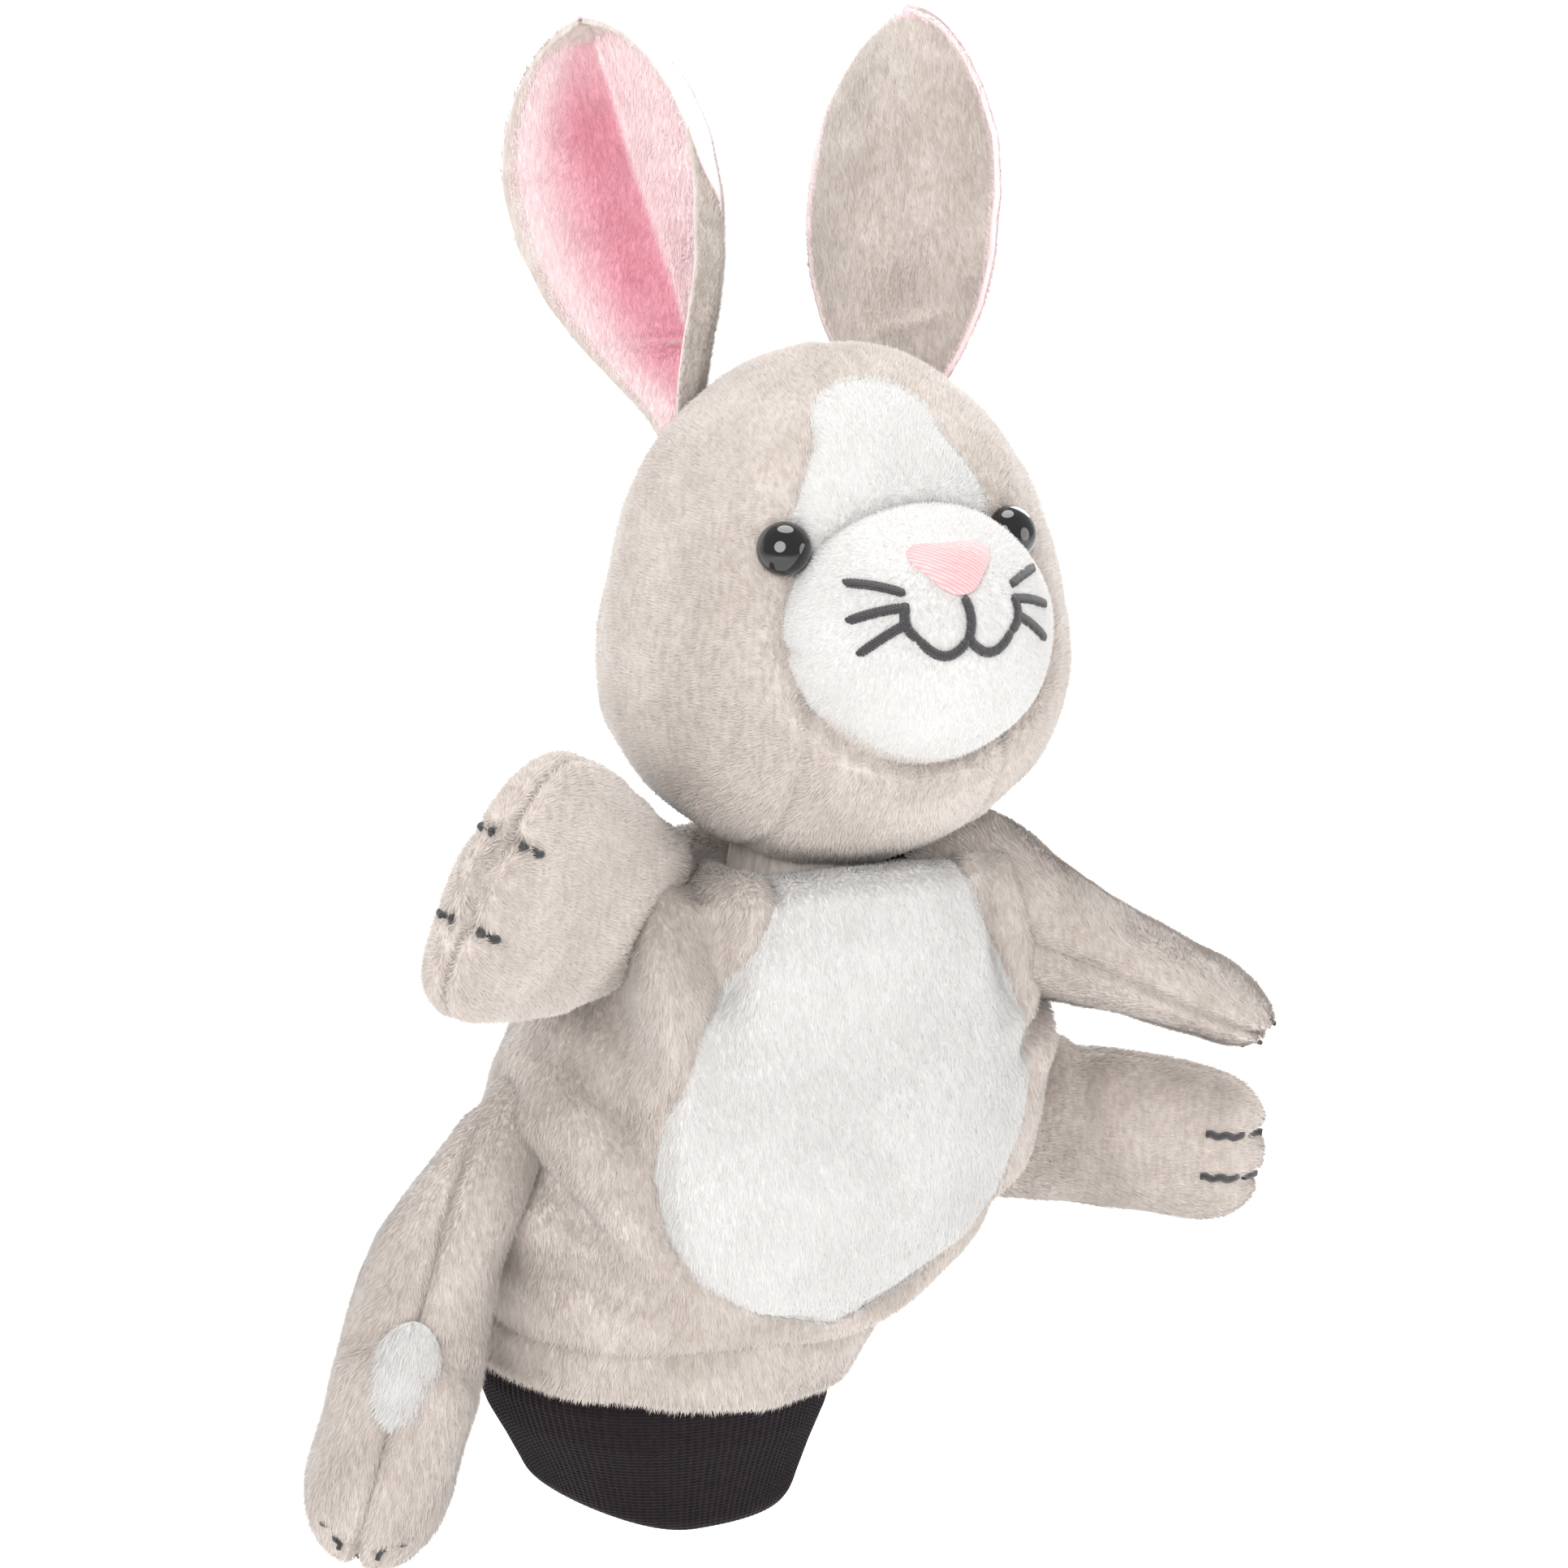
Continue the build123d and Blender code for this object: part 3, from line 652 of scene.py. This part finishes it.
def make_face_stitches():
    """Mouth and whiskers in rows of dark stitches, and the nose in pink satin stitch."""
    centre = MUZZLE[0] + 0.4
    rows = [ribbon(curve_points((centre, 190.8), (centre + 0.8, 187.0), (centre - 0.2, 183.2)), STITCH, LIFT)]
    for sign in (-1, 1):
        lip = curve_points((centre, 183.6), (centre + sign * 4.6, 180.6), (centre + sign * 9.4, 184.0))
        cheek = curve_points((centre + sign * 9.4, 184.0), (centre + sign * 11.2, 186.4),
                             (centre + sign * 10.8, 190.0))
        rows += [ribbon(path, STITCH, LIFT) for path in (lip, cheek)]
    mouth = join(rows)
    finish_piece(mouth, "mouth_stitching", DARK_THREAD, "head", "mouth_embroidery")
    for side, sign in SIDES.items():
        lines = []
        for near, far in WHISKERS:
            path = curve_points((centre + sign * near[0], near[1]),
                                (centre + sign * (near[0] + far[0]) / 2, (near[1] + far[1]) / 2 + 0.5),
                                (centre + sign * far[0], far[1]))
            lines.append(ribbon(path, STITCH * 0.9, LIFT * 0.9))
        finish_piece(join(lines), f"whisker_stitching_{side}", DARK_THREAD, "head", f"whiskers_{side}")
    nose = add_ball(5)
    unit = points_of(nose)
    angle = np.arctan2(unit[:, 2], unit[:, 0])
    reach = np.hypot(unit[:, 0], unit[:, 2])
    corner = 1 / (1 - 0.17 * np.cos(3 * (angle + math.pi / 2)))
    x = centre - 0.4 + 7.4 * reach * np.cos(angle) * corner
    z = 196.2 + 4.1 * reach * np.sin(angle) * corner
    rows = 0.16 * np.sin((x * 0.8 + z) * 5.2) * bell(reach, 0.8)
    lift = 1.3 * np.clip(1 - reach ** 2, 0, 1) ** 0.35 * np.sign(unit[:, 1])
    y = muzzle_height(x, z) + lift * 0.9 - 0.35 - np.where(unit[:, 1] < 0, -rows, 0)
    set_points(nose, np.column_stack([x, y, z]))
    finish_piece(nose, "nose_satin", PINK_THREAD, "head", "nose_embroidery")


def make_eyes():
    for side, sign in SIDES.items():
        ball = add_ball(5)
        unit = points_of(ball)
        out = unit_vector((sign * 0.42, -0.72, 0.42))
        depth = unit @ out
        shape = unit - out * (depth * 0.18)[:, None]
        set_points(ball, np.array([HEAD[0] + sign * EYE_ASIDE, -43.9, 197.6]) + shape * EYE_RADIUS)
        finish_piece(ball, f"eye_{side}_dome", EYE, "head", f"eye_{side}")
        dress(frame["nodes"][f"eye_washer_{side}"], WHITE)


make_head()
make_muzzle()
make_face_stitches()
make_eyes()


# ---- body ---------------------------------------------------------------------------------------
BODY_RINGS = np.array([     # height, centre x, centre y, half width, half depth, from the neck to the tucked hem
    (126.0, 28.0, -10.5, 15.0, 14.0),
    (129.5, 28.0, -10.5, 17.0, 15.5),
    (132.5, 28.0, -12.0, 33.0, 27.0),
    (130.0, 26.0, -11.5, 42.0, 31.0),
    (119.0, 24.0, -9.5, 48.5, 34.5),
    (104.0, 23.0, -8.0, 52.5, 35.5),
    (90.0, 22.0, -7.0, 57.0, 39.0),
    (76.0, 20.0, -6.0, 57.5, 41.0),
    (62.0, 16.0, -5.0, 54.5, 41.5),
    (51.0, 11.5, -4.0, 49.5, 40.5),
    (43.5, 8.5, -3.0, 45.0, 37.5),
    (40.5, 8.0, -3.0, 41.0, 34.5),
    (43.0, 7.5, -3.0, 38.0, 32.0),
    (49.0, 7.0, -3.0, 35.0, 30.0),
])


def belly_edge(points):
    """Signed distance to the belly panel's outline, seen from the front: a pear, wide end down."""
    x, z = points[:, 0], points[:, 2]
    middle = np.interp(z, [50, 80, 110, 135], [20.0, 25.0, 29.0, 30.0])
    half = np.interp(z, [44, 47, 51, 57, 66, 78, 90, 104, 118, 130, 140],
                     [-6, 8, 18.5, 28.5, 35.5, 39.5, 39.0, 34.5, 27.0, 20.5, 16.0])
    return np.abs(x - middle) - half


def crease(points, path, depth, width, front=True):
    """A fold pressed along a path drawn in x and z, fading at both ends."""
    away, along = line_distance(points[:, [0, 2]], path)
    fade = np.sin(np.pi * np.clip(along, 0.04, 0.96)) ** 0.6
    side = points[:, 1] < -4.0 if front else points[:, 1] > -8.0
    lip = 0.45 * bell(away - 1.9 * width, width)
    return np.where(side, depth * (lip - bell(away, width)) * fade, 0)


FRONT_FOLDS = (             # where each fold runs in x and z, how deep it is (a ridge is negative), how wide
    ([(-25, 126), (-22, 110), (-19, 93)], 4.2, 5.0),
    ([(-10, 136), (-12, 120), (-9, 98), (-6, 72)], -2.4, 3.8),
    ([(-3, 133), (-2, 118), (1, 106)], 3.0, 4.0),
    ([(-43, 80), (-35, 78), (-29, 72), (-25, 62)], 4.6, 4.2),
    ([(-40, 90), (-33, 79), (-22, 70), (-12, 62)], -2.0, 3.0),
    ([(-30, 104), (-22, 92), (-16, 80)], 2.2, 3.6),
    ([(-36, 62), (-24, 56), (-10, 52)], 2.0, 3.4),
    ([(4, 47), (30, 50), (52, 56)], 2.2, 2.8),
    ([(56, 128), (58, 116), (60, 104)], 3.4, 3.6),
    ([(76, 104), (68, 96), (62, 92)], 2.2, 3.0),
    ([(78, 66), (66, 62), (54, 58)], 2.2, 3.2),
)
BACK_FOLDS = (
    ([(66, 122), (50, 108), (34, 100)], 2.8, 4.0),
    ([(-16, 120), (-4, 104), (10, 96)], 2.6, 4.0),
    ([(70, 84), (50, 74), (24, 68)], 2.8, 4.5),
    ([(-30, 76), (-10, 66), (12, 62)], 2.4, 4.5),
    ([(-20, 52), (10, 48), (44, 52)], 1.8, 3.0),
)
FOLD_DEPTH = 1.3            # all folds together, deeper or flatter
SIDE_SEAM, FRONT_SEAM = -5.0, 22.0      # y of the seams down the sides, x of the one down the front


def make_body():
    """The body's sack, pressed into folds and seams and cut into its four panels."""
    cloth, across, along = add_sheet(240, 170)
    steps = np.linalg.norm(np.diff(BODY_RINGS[:, [0, 3]], axis=0), axis=1)
    spots = np.concatenate([[0], np.cumsum(steps)]) / steps.sum()
    smooth = np.linspace(0, 1, 500)
    kernel = np.hanning(31) / np.hanning(31).sum()
    values = []
    for column in range(5):
        raw = np.interp(smooth, spots, BODY_RINGS[:, column])
        values.append(np.convolve(np.pad(raw, 15, mode="edge"), kernel, mode="valid"))
    z, cx, cy, rx, ry = [np.interp(along, smooth, v) for v in values]
    angle = across * 2 * np.pi
    cos, sin = np.cos(angle), np.sin(angle)
    squareness = 0.94
    x = cx + rx * np.sign(cos) * np.abs(cos) ** squareness
    y = cy + ry * np.sign(sin) * np.abs(sin) ** squareness
    low = smooth_step(-z, -62, -42)
    z = z - low * (3.5 * smooth_step(-x, -10, 32) - 1.5 * smooth_step(x, 20, 50))
    set_points(cloth, np.column_stack([x, y, z]))
    close_seam(cloth)
    points = points_of(cloth)
    amount = 0.9 * rumple(points, 52, 21) + 0.45 * rumple(points, 20, 22)
    for routes, front in ((FRONT_FOLDS, True), (BACK_FOLDS, False)):
        for route, depth, width in routes:
            amount += crease(points, route, depth * FOLD_DEPTH, width, front)
    belly = np.where(points[:, 1] < -6, belly_edge(points), 30.0)
    amount = amount * (1 - 0.6 * smooth_step(-belly, 0, 8))
    amount += 1.4 * smooth_step(-belly, 0, 14) - 1.5 * bell(belly, 1.5)
    side_seam = np.where(np.abs(points[:, 0] - 21) > 20, points[:, 1] - SIDE_SEAM, 99)
    amount -= 1.7 * bell(side_seam, 1.5)
    push(cloth, amount)
    points = points_of(cloth)
    inside = np.where(points[:, 1] < -8, belly_edge(points), 30.0)
    belly_piece, rest = cut_cloth(cloth, inside)
    front, back = cut_cloth(rest, points_of(rest)[:, 1] - SIDE_SEAM)
    right, left = cut_cloth(front, points_of(front)[:, 0] - FRONT_SEAM)
    grow_pile("body_grey_pile", (back, right, left), GREY, "torso", density=6.6, seed=104)
    grow_pile("belly_pile", (belly_piece,), WHITE, "torso", density=8.0, length=1.6, swirl=0.2, seed=105)
    for piece, part, material in ((belly_piece, "belly", WHITE), (back, "body_back", GREY),
                                  (right, "body_front_right", GREY), (left, "body_front_left", GREY)):
        thicken(piece, CLOTH)
        finish_piece(piece, f"{part}_cover", material, "torso", f"{part}_panel")


def make_band_and_cuff():
    """The plush band under the body, and the ribbed cuff whose ribs are real."""
    band, across, along = add_sheet(220, 40)
    angle = across * 2 * np.pi
    z = 28.5 + 20.5 * along
    out = np.interp(along, [0, 0.03, 0.12, 0.5, 0.8, 1.0], [36.6, 38.0, 39.2, 40.2, 38.5, 35.0])
    x = -1.0 + 9.0 * along + out * (1 + 0.06 * along) * np.cos(angle)
    y = -3.0 * along + out * 0.95 * np.sin(angle)
    z = z + (4.0 * -x / 38.0 + 1.5 * (x / 38.0) ** 2 + 0.5 * np.sin(3 * angle + 1)) * (1 - along)
    set_points(band, np.column_stack([x, y, z]))
    close_seam(band)
    push(band, 0.8 * rumple(points_of(band), 22, 31))
    add_fringe(band)
    grow_pile("band_pile", (band,), GREY, "torso", seed=106)
    thicken(band, CLOTH)
    finish_piece(band, "lower_band_cover", GREY, "torso", "lower_band")

    ribs, steps_to_a_rib = 138, 8
    cuff, across, along = add_sheet(ribs * steps_to_a_rib, 40)
    angle = across * 2 * np.pi
    out = np.interp(along, [0, 0.03, 0.1, 0.3, 0.5, 0.72, 0.9, 1.0],
                    [26.4, 27.2, 28.0, 30.8, 34.0, 36.4, 36.6, 34.0])
    wave = 0.6 * np.sin(2 * angle + 0.6) + 0.35 * np.sin(5 * angle)
    reach = out + wave * (1 - 0.6 * along) + 0.17 * np.cos(ribs * angle) * np.clip(along * 12, 0.3, 1)
    x, y = reach * np.cos(angle) - 1.0 * along, reach * 0.97 * np.sin(angle)
    z = 38.0 * along + 6.0 * smooth_step(-x, 2, 32) * (1 - along) ** 2
    set_points(cuff, np.column_stack([x, y, z]))
    close_seam(cuff)
    thicken(cuff, 1.5)
    finish_piece(cuff, "rib_cuff", KNIT, "cuff", "wrist_cuff")


def add_fringe(band):
    """Longer pile that hangs over the cuff all along the band's lower edge."""
    points = points_of(band)
    low = points[:, 2] < 33.5 - 4.0 * points[:, 0] / 38.0
    kept = [tuple(face.vertices) for face in band.data.polygons if low[list(face.vertices)].all()]
    mesh = bpy.data.meshes.new("edge")
    mesh.from_pydata([tuple(p * MM) for p in points], [], kept)
    mesh.update()
    edge = bpy.data.objects.new("edge", mesh)
    grow_pile("band_fringe", (edge,), GREY, "torso", density=9.0, length=3.4, lean=12.0, seed=107)
    bpy.data.objects.remove(edge)


make_body()
make_band_and_cuff()


# ---- limbs --------------------------------------------------------------------------------------
def limb_axes(along, across):
    """Local axes: along the limb, across its broad side, and through it."""
    u = unit_vector(along)
    n = unit_vector(np.cross(u, across))
    return u, np.cross(n, u), n


def limb_form(pivot, along, across, length, half_widths, half_depths, start, toe_spots, root_pull, blunt=2.6,
              tip_from=0.80, bend=0.0, skew=0.0):
    """Two panels sewn edge to edge: a flat rounded limb with a blunt, toed tip.

    It runs from start to length along its axis, both measured from the pivot; root_pull draws its root into
    the body, skew slides the root across, and bend curves the tip towards the broad side.
    """
    u_axis, v_axis, n_axis = limb_axes(along, across)
    cloth, around, down = add_sheet(132, 120)
    angle = around * 2 * np.pi
    t = 1 - (1 - down) ** 1.35
    width, depth = spread(t, half_widths), spread(t, half_depths)
    past = np.clip((t - tip_from) / (1 - tip_from), 0, 1)
    tip = np.clip(1 - past ** blunt, 0, 1) ** (1 / blunt)
    cos, sin = np.cos(angle), np.sin(angle)
    v = width * tip * np.sign(cos) * np.abs(cos) ** 0.9
    n = depth * tip * np.sign(sin) * np.abs(sin) ** 0.8
    u = start + (length - start) * t
    for spot in toe_spots:
        u = u - 2.2 * bell(v - spot, 1.7) * smooth_step(t, 0.86, 1.0)
    v = v + skew * (1 - t)
    n = n + bend * np.clip(t - 0.2, 0, 1) ** 2 * length
    axes = np.array([u_axis, v_axis, n_axis])
    inward = np.clip(1 - t / 0.3, 0, 1)[:, None] ** 1.5 * np.array(root_pull, float)
    set_points(cloth, pivot + np.column_stack([u, v, n]) @ axes + inward)
    close_seam(cloth)
    return cloth, (points_of(cloth) - pivot) @ axes.T, axes


def seam_groove(local, length, depth=1.1):
    """Groove along the sewn edges and over the tip, where the two panels meet."""
    edge = np.clip(np.abs(local[:, 1]) / 8.0, 0, 1) + smooth_step(local[:, 0], 0.75 * length, 0.9 * length)
    return -depth * bell(local[:, 2], 1.0) * np.clip(edge, 0, 1)


ARMS = {
    "right": dict(along=(-0.60, -0.70, 0.39), across=(0.55, 0.13, 0.85), length=67.0, start=-10.0, bend=0.03,
                  half_widths=[10.5, 17.5, 22, 25, 26, 25.5], half_depths=[9, 11, 10.5, 10, 9, 7.5], blunt=3.2,
                  tip_from=0.78, toe_spots=(-8.5, 8.5), skew=7.0, root_pull=(7, 5, 2)),
    "left": dict(along=(0.89, -0.12, -0.42), across=(-0.3, -0.95, 0.0), length=66.0, start=-12.0, bend=-0.02,
                 half_widths=[14, 17, 18, 19, 20.5, 20], half_depths=[17, 16, 12, 8.8, 7.2, 6.4], toe_spots=(2, 13),
                 root_pull=(-8, 0, 7)),
}
LEGS = {
    "right": dict(along=(-0.36, -0.22, -0.90), across=(-0.36, -0.9, 0.2), length=76.0, start=-10.0,
                  half_widths=[6, 13, 15, 15.5, 15.5, 14.5], half_depths=[5, 11, 13, 14, 14, 12.5], toe_spots=(-4, 9),
                  root_pull=(20, 7, 10)),
    "left": dict(along=(0.86, -0.46, -0.14), across=(0.1, 0.0, 1.0), length=74.0, start=-12.0,
                 half_widths=[9, 16, 18, 16, 16, 16], half_depths=[7, 12, 13, 12, 12.5, 11.5], toe_spots=(-4, 5),
                 root_pull=(-12, -12, 2)),
}
SLEEVE_END = 8.0            # the sleeve's length along the arm, from the pivot
SLEEVE_REACH, PAW_REACH = (-6, 7), (9, 24)      # where the arm's cloth turns from one body to the next


def pivot_of(joint):
    return np.array(JOINTS[joint]["pos_m"]) / MM


def make_toe_rows(local, axes, pivot, spots, length):
    """Rows of thread that wrap the paw's edge between its toes, laid on the cloth."""
    rows = []
    for across in spots:
        for face in (-1, 1):
            near = local[(np.abs(local[:, 1] - across) < 1.6) & (local[:, 2] * face > -0.3)]
            reach = near[:, 0].max()
            steps = np.linspace(reach - length, reach + 0.1, 16)
            height = [near[np.argsort(np.abs(near[:, 0] - u))[:6], 2].mean() for u in steps]
            sheet, w, s = add_sheet(8, 24)
            u, n = spread(s, steps), spread(s, height)
            v = across + (w - 0.5) * 0.9 + 0.25 * np.sin(s * 21)
            lift = 0.55 * np.sqrt(np.clip(1 - (2 * w - 1) ** 2, 0, 1)) + 0.35
            set_points(sheet, pivot + np.column_stack([u + 0.5 * s ** 8, v, n + face * lift]) @ axes)
            apply_modifier(sheet, "SOLIDIFY", thickness=0.7 * MM, offset=0.0)
            rows.append(sheet)
    made = join(rows)
    close_seam(made, 0.001)
    return made


def make_arms():
    for side, sign in SIDES.items():
        spec = ARMS[side]
        pivot = pivot_of(f"arm_{side}_raise")
        cloth, local, axes = limb_form(pivot, **spec)
        u_axis, points = axes[0], points_of(cloth)
        amount = seam_groove(local, spec["length"], 1.4) + 0.7 * rumple(points, 26, 41 + sign)
        push(cloth, amount + 0.5 * rumple(points, 12, 44))
        local = (points_of(cloth) - pivot) @ axes.T
        toes = make_toe_rows(local, axes, pivot, spec["toe_spots"], 3.0)
        finish_piece(toes, f"arm_{side}_toe_rows", DARK_THREAD, f"arm_{side}", f"arm_{side}_toe_stitches")
        sleeve, paw = cut_cloth(cloth, local[:, 0] - SLEEVE_END)
        panels = (f"arm_{side}_upper_panel", f"arm_{side}_lower_panel")
        for piece, part, nodes, bodies, reach, seed in (
                (sleeve, "sleeve", (f"arm_{side}_sleeve",), ("torso", f"shoulder_{side}"), SLEEVE_REACH, 111),
                (paw, "mitten", panels, (f"shoulder_{side}", f"arm_{side}"), PAW_REACH, 113)):
            pile = grow_pile(f"arm_{side}_{part}_pile", (piece,), GREY, comb=-u_axis, seed=seed + sign)
            thicken(piece, LIMB_CLOTH)
            finish_piece(piece, f"arm_{side}_{part}_cloth", GREY, None, *nodes)
            for each in (piece, pile):
                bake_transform(each)


def make_legs():
    for side, sign in SIDES.items():
        spec = LEGS[side]
        pivot = pivot_of(f"leg_{side}_swing")
        cloth, local, axes = limb_form(pivot, **spec)
        u_axis = axes[0]
        amount = seam_groove(local, spec["length"], 2.0) + 0.9 * rumple(points_of(cloth), 26, 51 + sign)
        buckle = np.abs(local[:, 0] - 38 + 0.25 * local[:, 1])
        push(cloth, amount - 1.8 * bell(buckle, 3.0) * smooth_step(local[:, 1], -2, 8))
        local = (points_of(cloth) - pivot) @ axes.T
        toes = make_toe_rows(local, axes, pivot, spec["toe_spots"], 11.0 if side == "left" else 4.0)
        finish_piece(toes, f"leg_{side}_toe_rows", DARK_THREAD, f"leg_{side}", f"leg_{side}_toe_stitches")
        pile = grow_pile(f"leg_{side}_pile", (cloth,), GREY, comb=u_axis, seed=121 + sign)
        thicken(cloth, LIMB_CLOTH)
        finish_piece(cloth, f"leg_{side}_cloth", GREY, None,
                     f"leg_{side}_upper_panel", f"leg_{side}_lower_panel", f"leg_{side}_filling")
        for each in (cloth, pile):
            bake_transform(each)
        make_sole(side, sign, spec, pivot, axes)


def make_sole(side, sign, spec, pivot, axes):
    """The white patch on a leg: on its broad edge, and on the left leg turned towards the leg's back face."""
    round_by = math.radians(42.0 if side == "left" else 0.0)
    wide, deep = (spread(0.6, spec[key]) - 0.5 for key in ("half_widths", "half_depths"))
    middle = np.array([spec["length"] * 0.52, wide * math.cos(round_by), -deep * math.sin(round_by)])
    sole = add_ball(5)
    unit = points_of(sole)
    rise, run = unit[:, 1] * 1.8 - 1.2 * unit[:, 2] ** 2, unit[:, 2] * 6.6
    shape = np.column_stack([unit[:, 0] * 10.0, rise * math.cos(round_by) + run * math.sin(round_by),
                             run * math.cos(round_by) - rise * math.sin(round_by)])
    set_points(sole, pivot + (middle + shape) @ axes)
    grow_pile(f"leg_{side}_sole_pile", (sole,), WHITE, f"leg_{side}", density=9.0, length=2.0,
              comb=axes[0], seed=131 + sign)
    finish_piece(sole, f"leg_{side}_sole", WHITE, f"leg_{side}", f"leg_{side}_sole_patch")


make_arms()
make_legs()


# ---- ears ---------------------------------------------------------------------------------------
EARS = {    # section at the widest level: across, share of the half width, forward; twist: share of length, degrees
    "right": dict(
        along=(-0.16, 0.22, 0.96), opening=(-0.80, -0.60, 0.0), twist=((0.0, 34), (0.35, 10), (0.7, -6), (1.0, -10)),
        section=((-1.0, -0.88, 6.0), (-0.88, -0.95, 1.0), (-0.7, -0.83, -3.4), (-0.35, -0.42, -7.0),
                 (0.05, 0.10, -12.5), (0.14, 0.18, -11.0), (0.38, 0.42, -5.0), (0.68, 0.70, 0.0), (1.0, 1.02, 5.5))),
    "left": dict(
        along=(0.12, 0.24, 0.96), opening=(0.84, 0.54, 0.0), twist=((0.0, -20), (0.4, -6), (1.0, 0)),
        section=((-1.0, -1.04, 3.5), (-0.7, -0.76, 0.6), (-0.3, -0.36, -2.0), (0.2, 0.18, -2.6),
                 (0.6, 0.60, -1.4), (0.85, 0.88, -1.8), (1.0, 1.0, -4.2))),
}
EAR_LENGTH, EAR_HALF_WIDTH = 77.0, 23.5
EAR_OUTLINE = (             # share of the length, share of the half width
    (0.0, 0.26), (0.05, 0.33), (0.14, 0.55), (0.25, 0.77), (0.38, 0.93), (0.52, 1.0),
    (0.66, 0.97), (0.78, 0.84), (0.87, 0.66), (0.94, 0.44), (0.98, 0.24), (1.0, 0.03))
EAR_START, EAR_BEYOND = -5.0, 4.0       # where the cloth starts and how much longer it is than the ear


def soften(place, table, column=1):
    """Read a table of knots with its corners rounded off."""
    knots = np.array(table, float)
    fine = np.linspace(knots[0, 0], knots[-1, 0], 241)
    raw = np.interp(fine, knots[:, 0], knots[:, column])
    kernel = np.hanning(17) / np.hanning(17).sum()
    padded = np.pad(raw, 8, mode="reflect", reflect_type="odd")
    return np.interp(place, fine, np.convolve(padded, kernel, mode="valid"))


def make_ears():
    """Each ear is a grey back and a pink lining, two sheets cupped and folded alike, that meet at the rim."""
    for side, sign in SIDES.items():
        spec = EARS[side]
        pivot = pivot_of(f"ear_{side}_flop")
        u_axis = unit_vector(spec["along"])
        n_axis = np.array(spec["opening"], float)
        n_axis = unit_vector(n_axis - u_axis * (n_axis @ u_axis))
        v_axis = np.cross(n_axis, u_axis)
        for layer, lift, material in (("back", -1.1, GREY), ("lining", 1.1, PINK)):
            sheet, across, along = add_sheet(88, 120)
            s = 2 * across - 1
            half = soften(along, EAR_OUTLINE) * EAR_HALF_WIDTH
            if layer == "lining":
                half = half - 0.5 + (1.1 * smooth_step(s, 0.8, 0.95) if side == "left" else 0)
            scale = half / EAR_HALF_WIDTH
            drawn = s
            if layer == "lining" and side == "right":       # the grey back wraps round the lower outer edge
                drawn = s * (1 - 0.42 * smooth_step(-s, 0.0, 1.0) * (1 - smooth_step(along, 0.15, 0.7)))
            v = soften(drawn, spec["section"]) * half
            n = soften(drawn, spec["section"], 2) * (0.25 + 0.75 * scale)
            tuck = 2.6 * bell(along - 0.21 - 0.05 * s, 0.022) * bell(s - 0.25, 0.4)
            n = n - tuck * (1.0 if side == "right" else 0.5)
            u = EAR_START + (EAR_LENGTH + EAR_BEYOND) * along
            puff = np.sqrt(np.clip(1 - s ** 2, 0, 1)) * np.clip((1 - along) * 14, 0, 1)
            n = n + lift * puff
            turn = np.radians(soften(along, spec["twist"]))
            v, n = v * np.cos(turn) + n * np.sin(turn), n * np.cos(turn) - v * np.sin(turn)
            set_points(sheet, pivot + np.column_stack([u, v, n]) @ np.array([u_axis, v_axis, n_axis]))
            push(sheet, 0.35 * rumple(points_of(sheet), 20, 61 + sign))
            if (normals_of(sheet).mean(axis=0) @ n_axis > 0) != (layer == "lining"):
                sheet.data.flip_normals()
            # painted highlight: rim is how far the lining is painted pale, along its sides and at its ends, where
            # light catches the edge
            sides = smooth_step(np.abs(s - 0.15), 0.15, 0.75) + smooth_step(-s, -0.12, -0.03)
            ends = 0.5 * smooth_step(along, 0.75, 1) + 0.6 * smooth_step(-along, -0.2, -0.05)
            rim = np.clip(sides + ends, 0, 0.95)
            sheet.data.attributes.new("rim", "FLOAT", "POINT").data.foreach_set("value", rim)
            pile = grow_pile(f"ear_{side}_{layer}_pile", (sheet,), material, length=1.6,
                             comb=u_axis * (0.9 if layer == "back" else -0.6), seed=141 + sign + int(lift * 5))
            thicken(sheet, EAR_CLOTH)
            finish_piece(sheet, f"ear_{side}_{layer}_cloth", material, None, f"ear_{side}_{layer}")
            for each in (sheet, pile):
                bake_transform(each)


make_ears()


# ---- neck ---------------------------------------------------------------------------------------
def make_neck():
    """The gathered cloth between body and head, in fine pleats."""
    cloth, across, along = add_sheet(240, 24)
    angle = across * 2 * np.pi
    pleats, (neck_x, neck_y, _) = 26, pivot_of("head_turn")
    out = 17.5 - 3.5 * along + 0.6 * np.cos(pleats * angle) * along
    ring = np.column_stack([neck_x + out * np.cos(angle), neck_y + out * np.sin(angle), 122.0 + 17.0 * along])
    set_points(cloth, ring)
    close_seam(cloth)
    thicken(cloth, 1.0)
    finish_piece(cloth, "neck_gather", GREY, "neck", "neck_sleeve")


make_neck()


# ---- the frame's own inner pieces ---------------------------------------------------------------
dress(frame["nodes"]["head_finger_tube"], GREY)
